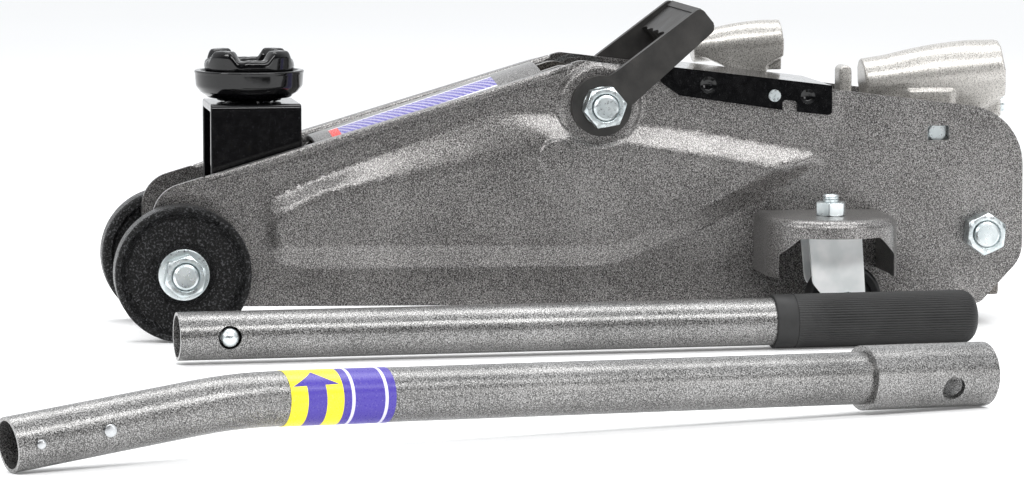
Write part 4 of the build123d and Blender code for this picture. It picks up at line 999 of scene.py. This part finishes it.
def cover_dimples():
    """Dished bottoms of the two holes in each flange of the cover, under the same enamel."""
    shape = Shape()
    for side in (-1, 1):
        for x, radius in COVER_HOLES:
            bowl = rounded([(0.0, radius - 0.05, 0.0), (1.7, radius - 0.05, 0.0),
                            (0.9, radius - 1.4, 0.8), (0.25, 0.0, 0.0)],
                           closed=False, step=12.0) + [(0.0, 0.0)]
            foot = (x, side * PLATE_OUTER, top_rear(x) - COVER_HOLE_DROP)
            lathe(shape, bowl, foot, (0, side, 0), 48, closed=False)
    piece("cover_plate_dimples", shape, "chassis", "gloss_black_enamel", smooth=60.0)


cover_dimples()


# ---------------------------------------------------------------- printed labels
def print_place(tree, place, origin, along, across):
    """Millimetres along and across a label, from its origin."""
    start = add(tree, "VectorMath", {0: place, 1: origin}, operation="SUBTRACT")
    result = []
    for direction in (along, across):
        metres = add(tree, "VectorMath", {0: start, 1: direction}, operation="DOT_PRODUCT")
        result.append(add(tree, "Math", {0: metres.outputs["Value"], 1: 1000.0},
                          operation="MULTIPLY"))
    return result


def printed(material, turned, ground, layers, worn, worn_amount, rough, ripple=None):
    """Layers of ink over a ground colour, each shown where its factor is 1, then scuffs."""
    tree = material.node_tree
    wear = add(tree, "TexNoise", {"Vector": turned, "Scale": per_metre(0.7), "Detail": 2.0})
    scuff = add(tree, "MapRange", {"Value": wear, "From Min": 0.62, "From Max": 0.8,
                                   "To Min": 0.0, "To Max": worn_amount})
    colour = linear(ground)
    for factor, ink in layers + [(scuff, worn)]:
        colour = add(tree, "Mix", {0: factor, 6: colour, 7: linear(ink)},
                     data_type="RGBA").outputs[2]
    return surfaced(material, colour, wear, rough, ripple, 0.15, 0.0001)


def band_print():
    """Vinyl band round the handle tube: glossy ink, a yellow panel with a plain violet arrow, then
    a violet panel with two plain lines; a fine ripple breaks up the shine."""
    material, tree, place, turned = new_finish("printed_vinyl_band")
    low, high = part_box("handle_label")
    heading = radians(LOWER_HEADING)
    s, t = print_place(tree, place, (low + high) / 2, (cos(heading), sin(heading), 0), (0, 0, 1))
    yellow, violet, pale = "#f3e01c", "#41319a", "#d9d6ea"
    arrow_s, head_foot = -11.5, 6.2
    stem = add(tree, "Math", {0: s, 1: arrow_s, 2: 4.1}, operation="COMPARE")
    below_head = add(tree, "Math", {0: 7.0, 1: t}, operation="GREATER_THAN")
    stem = add(tree, "Math", {0: stem, 1: below_head}, operation="MULTIPLY")
    slope = add(tree, "Math", {0: s, 1: -arrow_s}, operation="ADD")
    slope = add(tree, "Math", {0: slope}, operation="ABSOLUTE")
    peak = add(tree, "Math", {0: slope, 1: -0.45, 2: 10.8}, operation="MULTIPLY_ADD")
    under_peak = add(tree, "Math", {0: peak, 1: t}, operation="GREATER_THAN")
    over_foot = add(tree, "Math", {0: t, 1: head_foot}, operation="GREATER_THAN")
    beside = add(tree, "Math", {0: s, 1: arrow_s, 2: 10.0}, operation="COMPARE")
    head = add(tree, "Math", {0: under_peak, 1: over_foot}, operation="MULTIPLY")
    head = add(tree, "Math", {0: head, 1: beside}, operation="MULTIPLY")
    panel = add(tree, "Math", {0: s, 1: 0.0}, operation="GREATER_THAN")
    layers = [(panel, violet), (stem, violet), (head, violet)]
    for line in (4.2, 18.8):
        layers.append((add(tree, "Math", {0: s, 1: line, 2: 0.7}, operation="COMPARE"), pale))
    ripple = add(tree, "TexNoise", {"Vector": turned, "Scale": per_metre(2.0), "Detail": 1.0})
    return printed(material, turned, yellow, layers, "#cfcbd6", 0.25, (0.25, 0.38), ripple)


def strip_print():
    """Vinyl strip on the arm: white border, red tab and slanting violet bars on silver, glossy."""
    material, tree, place, turned = new_finish("printed_vinyl_strip")
    low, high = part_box("arm_label")
    droop = radians(17.7)
    s, t = print_place(tree, place, (low.x, (low.y + high.y) / 2, low.z),
                       (cos(droop), 0, sin(droop)), (0, 1, 0))
    silver, violet, red, white = "#9d99b8", "#5b55a0", "#d8352f", "#f2f2f4"
    slant = add(tree, "Math", {0: t, 1: 0.5, 2: s}, operation="MULTIPLY_ADD")
    bars = add(tree, "Math", {0: slant, 1: 3.2}, operation="MODULO")
    bar = add(tree, "Math", {0: bars, 1: 1.3}, operation="GREATER_THAN")
    tab = add(tree, "Math", {0: 5.5, 1: s}, operation="GREATER_THAN")
    end = add(tree, "Math", {0: 0.9, 1: s}, operation="GREATER_THAN")
    side = add(tree, "Math", {0: t}, operation="ABSOLUTE")
    side = add(tree, "Math", {0: side, 1: 7.9}, operation="GREATER_THAN")
    layers = [(bar, violet), (tab, red), (end, white), (side, white)]
    return printed(material, turned, silver, layers, "#dcdce2", 0.2, (0.2, 0.34))


for node, material in (("handle_label", band_print()), ("arm_label", strip_print())):
    frame["nodes"][node].data.materials.clear()
    frame["nodes"][node].data.materials.append(material)

for name, obj in frame["nodes"].items():
    if slot_of[name] in finishes:
        obj.data.materials.clear()
        obj.data.materials.append(finishes[slot_of[name]])


# ---------------------------------------------------------------- floor, light and camera
def floor():
    """Pale matt sheet under the object, nearly even in tone."""
    material, tree, _, turned = new_finish("pale_studio_floor")
    cloud = add(tree, "TexNoise", {"Vector": turned, "Scale": per_metre(900.0), "Detail": 1.0})
    tone = add(tree, "ValToRGB", {"Fac": cloud}, ((0.3, "#f4f4f4"), (0.7, "#f8f8f8")))
    shader = add(tree, "BsdfPrincipled", {
        "Base Color": tone, "Roughness": 0.9, "Specular IOR Level": 0.1,
        "Emission Color": linear("#ffffff"), "Emission Strength": 0.12})
    add(tree, "OutputMaterial", {"Surface": shader})
    bpy.ops.mesh.primitive_plane_add(size=30.0, location=(0, 0, -0.0002))
    ground = bpy.context.object
    ground.name = "studio_floor"
    ground.data.materials.append(material)


def dark_card():
    """Dark card on the floor in front, which only reflections see: faces turned to the viewer
    stay deep."""
    material, tree, _, turned = new_finish("matte_dark_card")
    cloud = add(tree, "TexNoise", {"Vector": turned, "Scale": per_metre(60.0), "Detail": 2.0})
    tone = add(tree, "ValToRGB", {"Fac": cloud}, ((0.3, "#1c1c1c"), (0.7, "#242424")))
    shader = add(tree, "BsdfPrincipled", {"Base Color": tone, "Roughness": 0.9})
    add(tree, "OutputMaterial", {"Surface": shader})
    bpy.ops.mesh.primitive_plane_add(size=1.0, location=at(100.0, -1980.0, 3.0))
    card = bpy.context.object
    card.name, card.scale = "dark_card", (3.4, 2.5, 1.0)
    card.data.materials.append(material)
    card.visible_camera = card.visible_diffuse = card.visible_shadow = False


def softbox(name, place, aim, size, power, size_y=None):
    """Rectangular light in metres and watts, turned to what it is aimed at."""
    data = bpy.data.lights.new(name, "AREA")
    data.energy, data.size = power, size
    data.shape, data.size_y = "RECTANGLE", size_y or size
    obj = bpy.data.objects.new(name, data)
    bpy.context.scene.collection.objects.link(obj)
    obj.location = place
    obj.rotation_euler = (Vector(aim) - Vector(place)).to_track_quat("-Z", "Y").to_euler()


# The camera's lens, its place from the front axle, and its axes, solved from the object's edges.
LENS, SENSOR = 187.45, 36.0
CAMERA_PLACE = (-194.59, -2525.42, 280.08)
CAMERA_RIGHT = Vector((0.99015728, -0.13995912, 0.0))
CAMERA_UP = Vector((0.01309303, 0.09262817, 0.99561468))
CAMERA_AHEAD = Vector((0.13934536, 0.98581513, -0.09354894))


def studio():
    """Floor, sky that is bright above and behind and dim in front, four softboxes and camera."""
    floor()
    dark_card()
    world = bpy.data.worlds.new("studio")
    bpy.context.scene.world = world
    world.use_nodes = True
    tree = world.node_tree
    tree.nodes.clear()
    direction = add(tree, "TexCoord").outputs["Generated"]
    toward = add(tree, "VectorMath", {0: direction, 1: (0.0, 0.6, 0.8)}, operation="DOT_PRODUCT")
    glow = add(tree, "MapRange", {
        "Value": toward.outputs["Value"], "From Min": -0.25, "From Max": 0.5,
        "To Min": 0.05, "To Max": 1.1}, interpolation_type="SMOOTHSTEP")
    sky = add(tree, "Background", {"Color": linear("#f6f8fa"), "Strength": glow})
    add(tree, "OutputWorld", {"Surface": sky})
    softbox("front_top", (0.2, -1.25, 1.15), (0, 0, 0.05), 2.0, 20.0, 0.3)
    softbox("overhead", (0.1, 0.3, 1.3), (0, 0.1, 0), 1.6, 12.0, 0.5)
    softbox("left_key", (-1.5, -0.5, 1.0), (-0.1, 0.1, 0.05), 0.5, 8.0)
    softbox("low_fill", (1.5, -1.5, 0.35), (0.05, 0, 0.05), 0.6, 5.0)
    camera_data = bpy.data.cameras.new("view")
    camera_data.lens, camera_data.sensor_width = LENS, SENSOR
    camera_data.clip_end = 60.0
    camera = bpy.data.objects.new("view", camera_data)
    bpy.context.scene.collection.objects.link(camera)
    turn = Matrix((CAMERA_RIGHT, CAMERA_UP, -CAMERA_AHEAD)).transposed().to_4x4()
    camera.matrix_world = Matrix.Translation(at(*CAMERA_PLACE)) @ turn
    bpy.context.scene.camera = camera
    bpy.context.scene.view_settings.view_transform = "Standard"


studio()
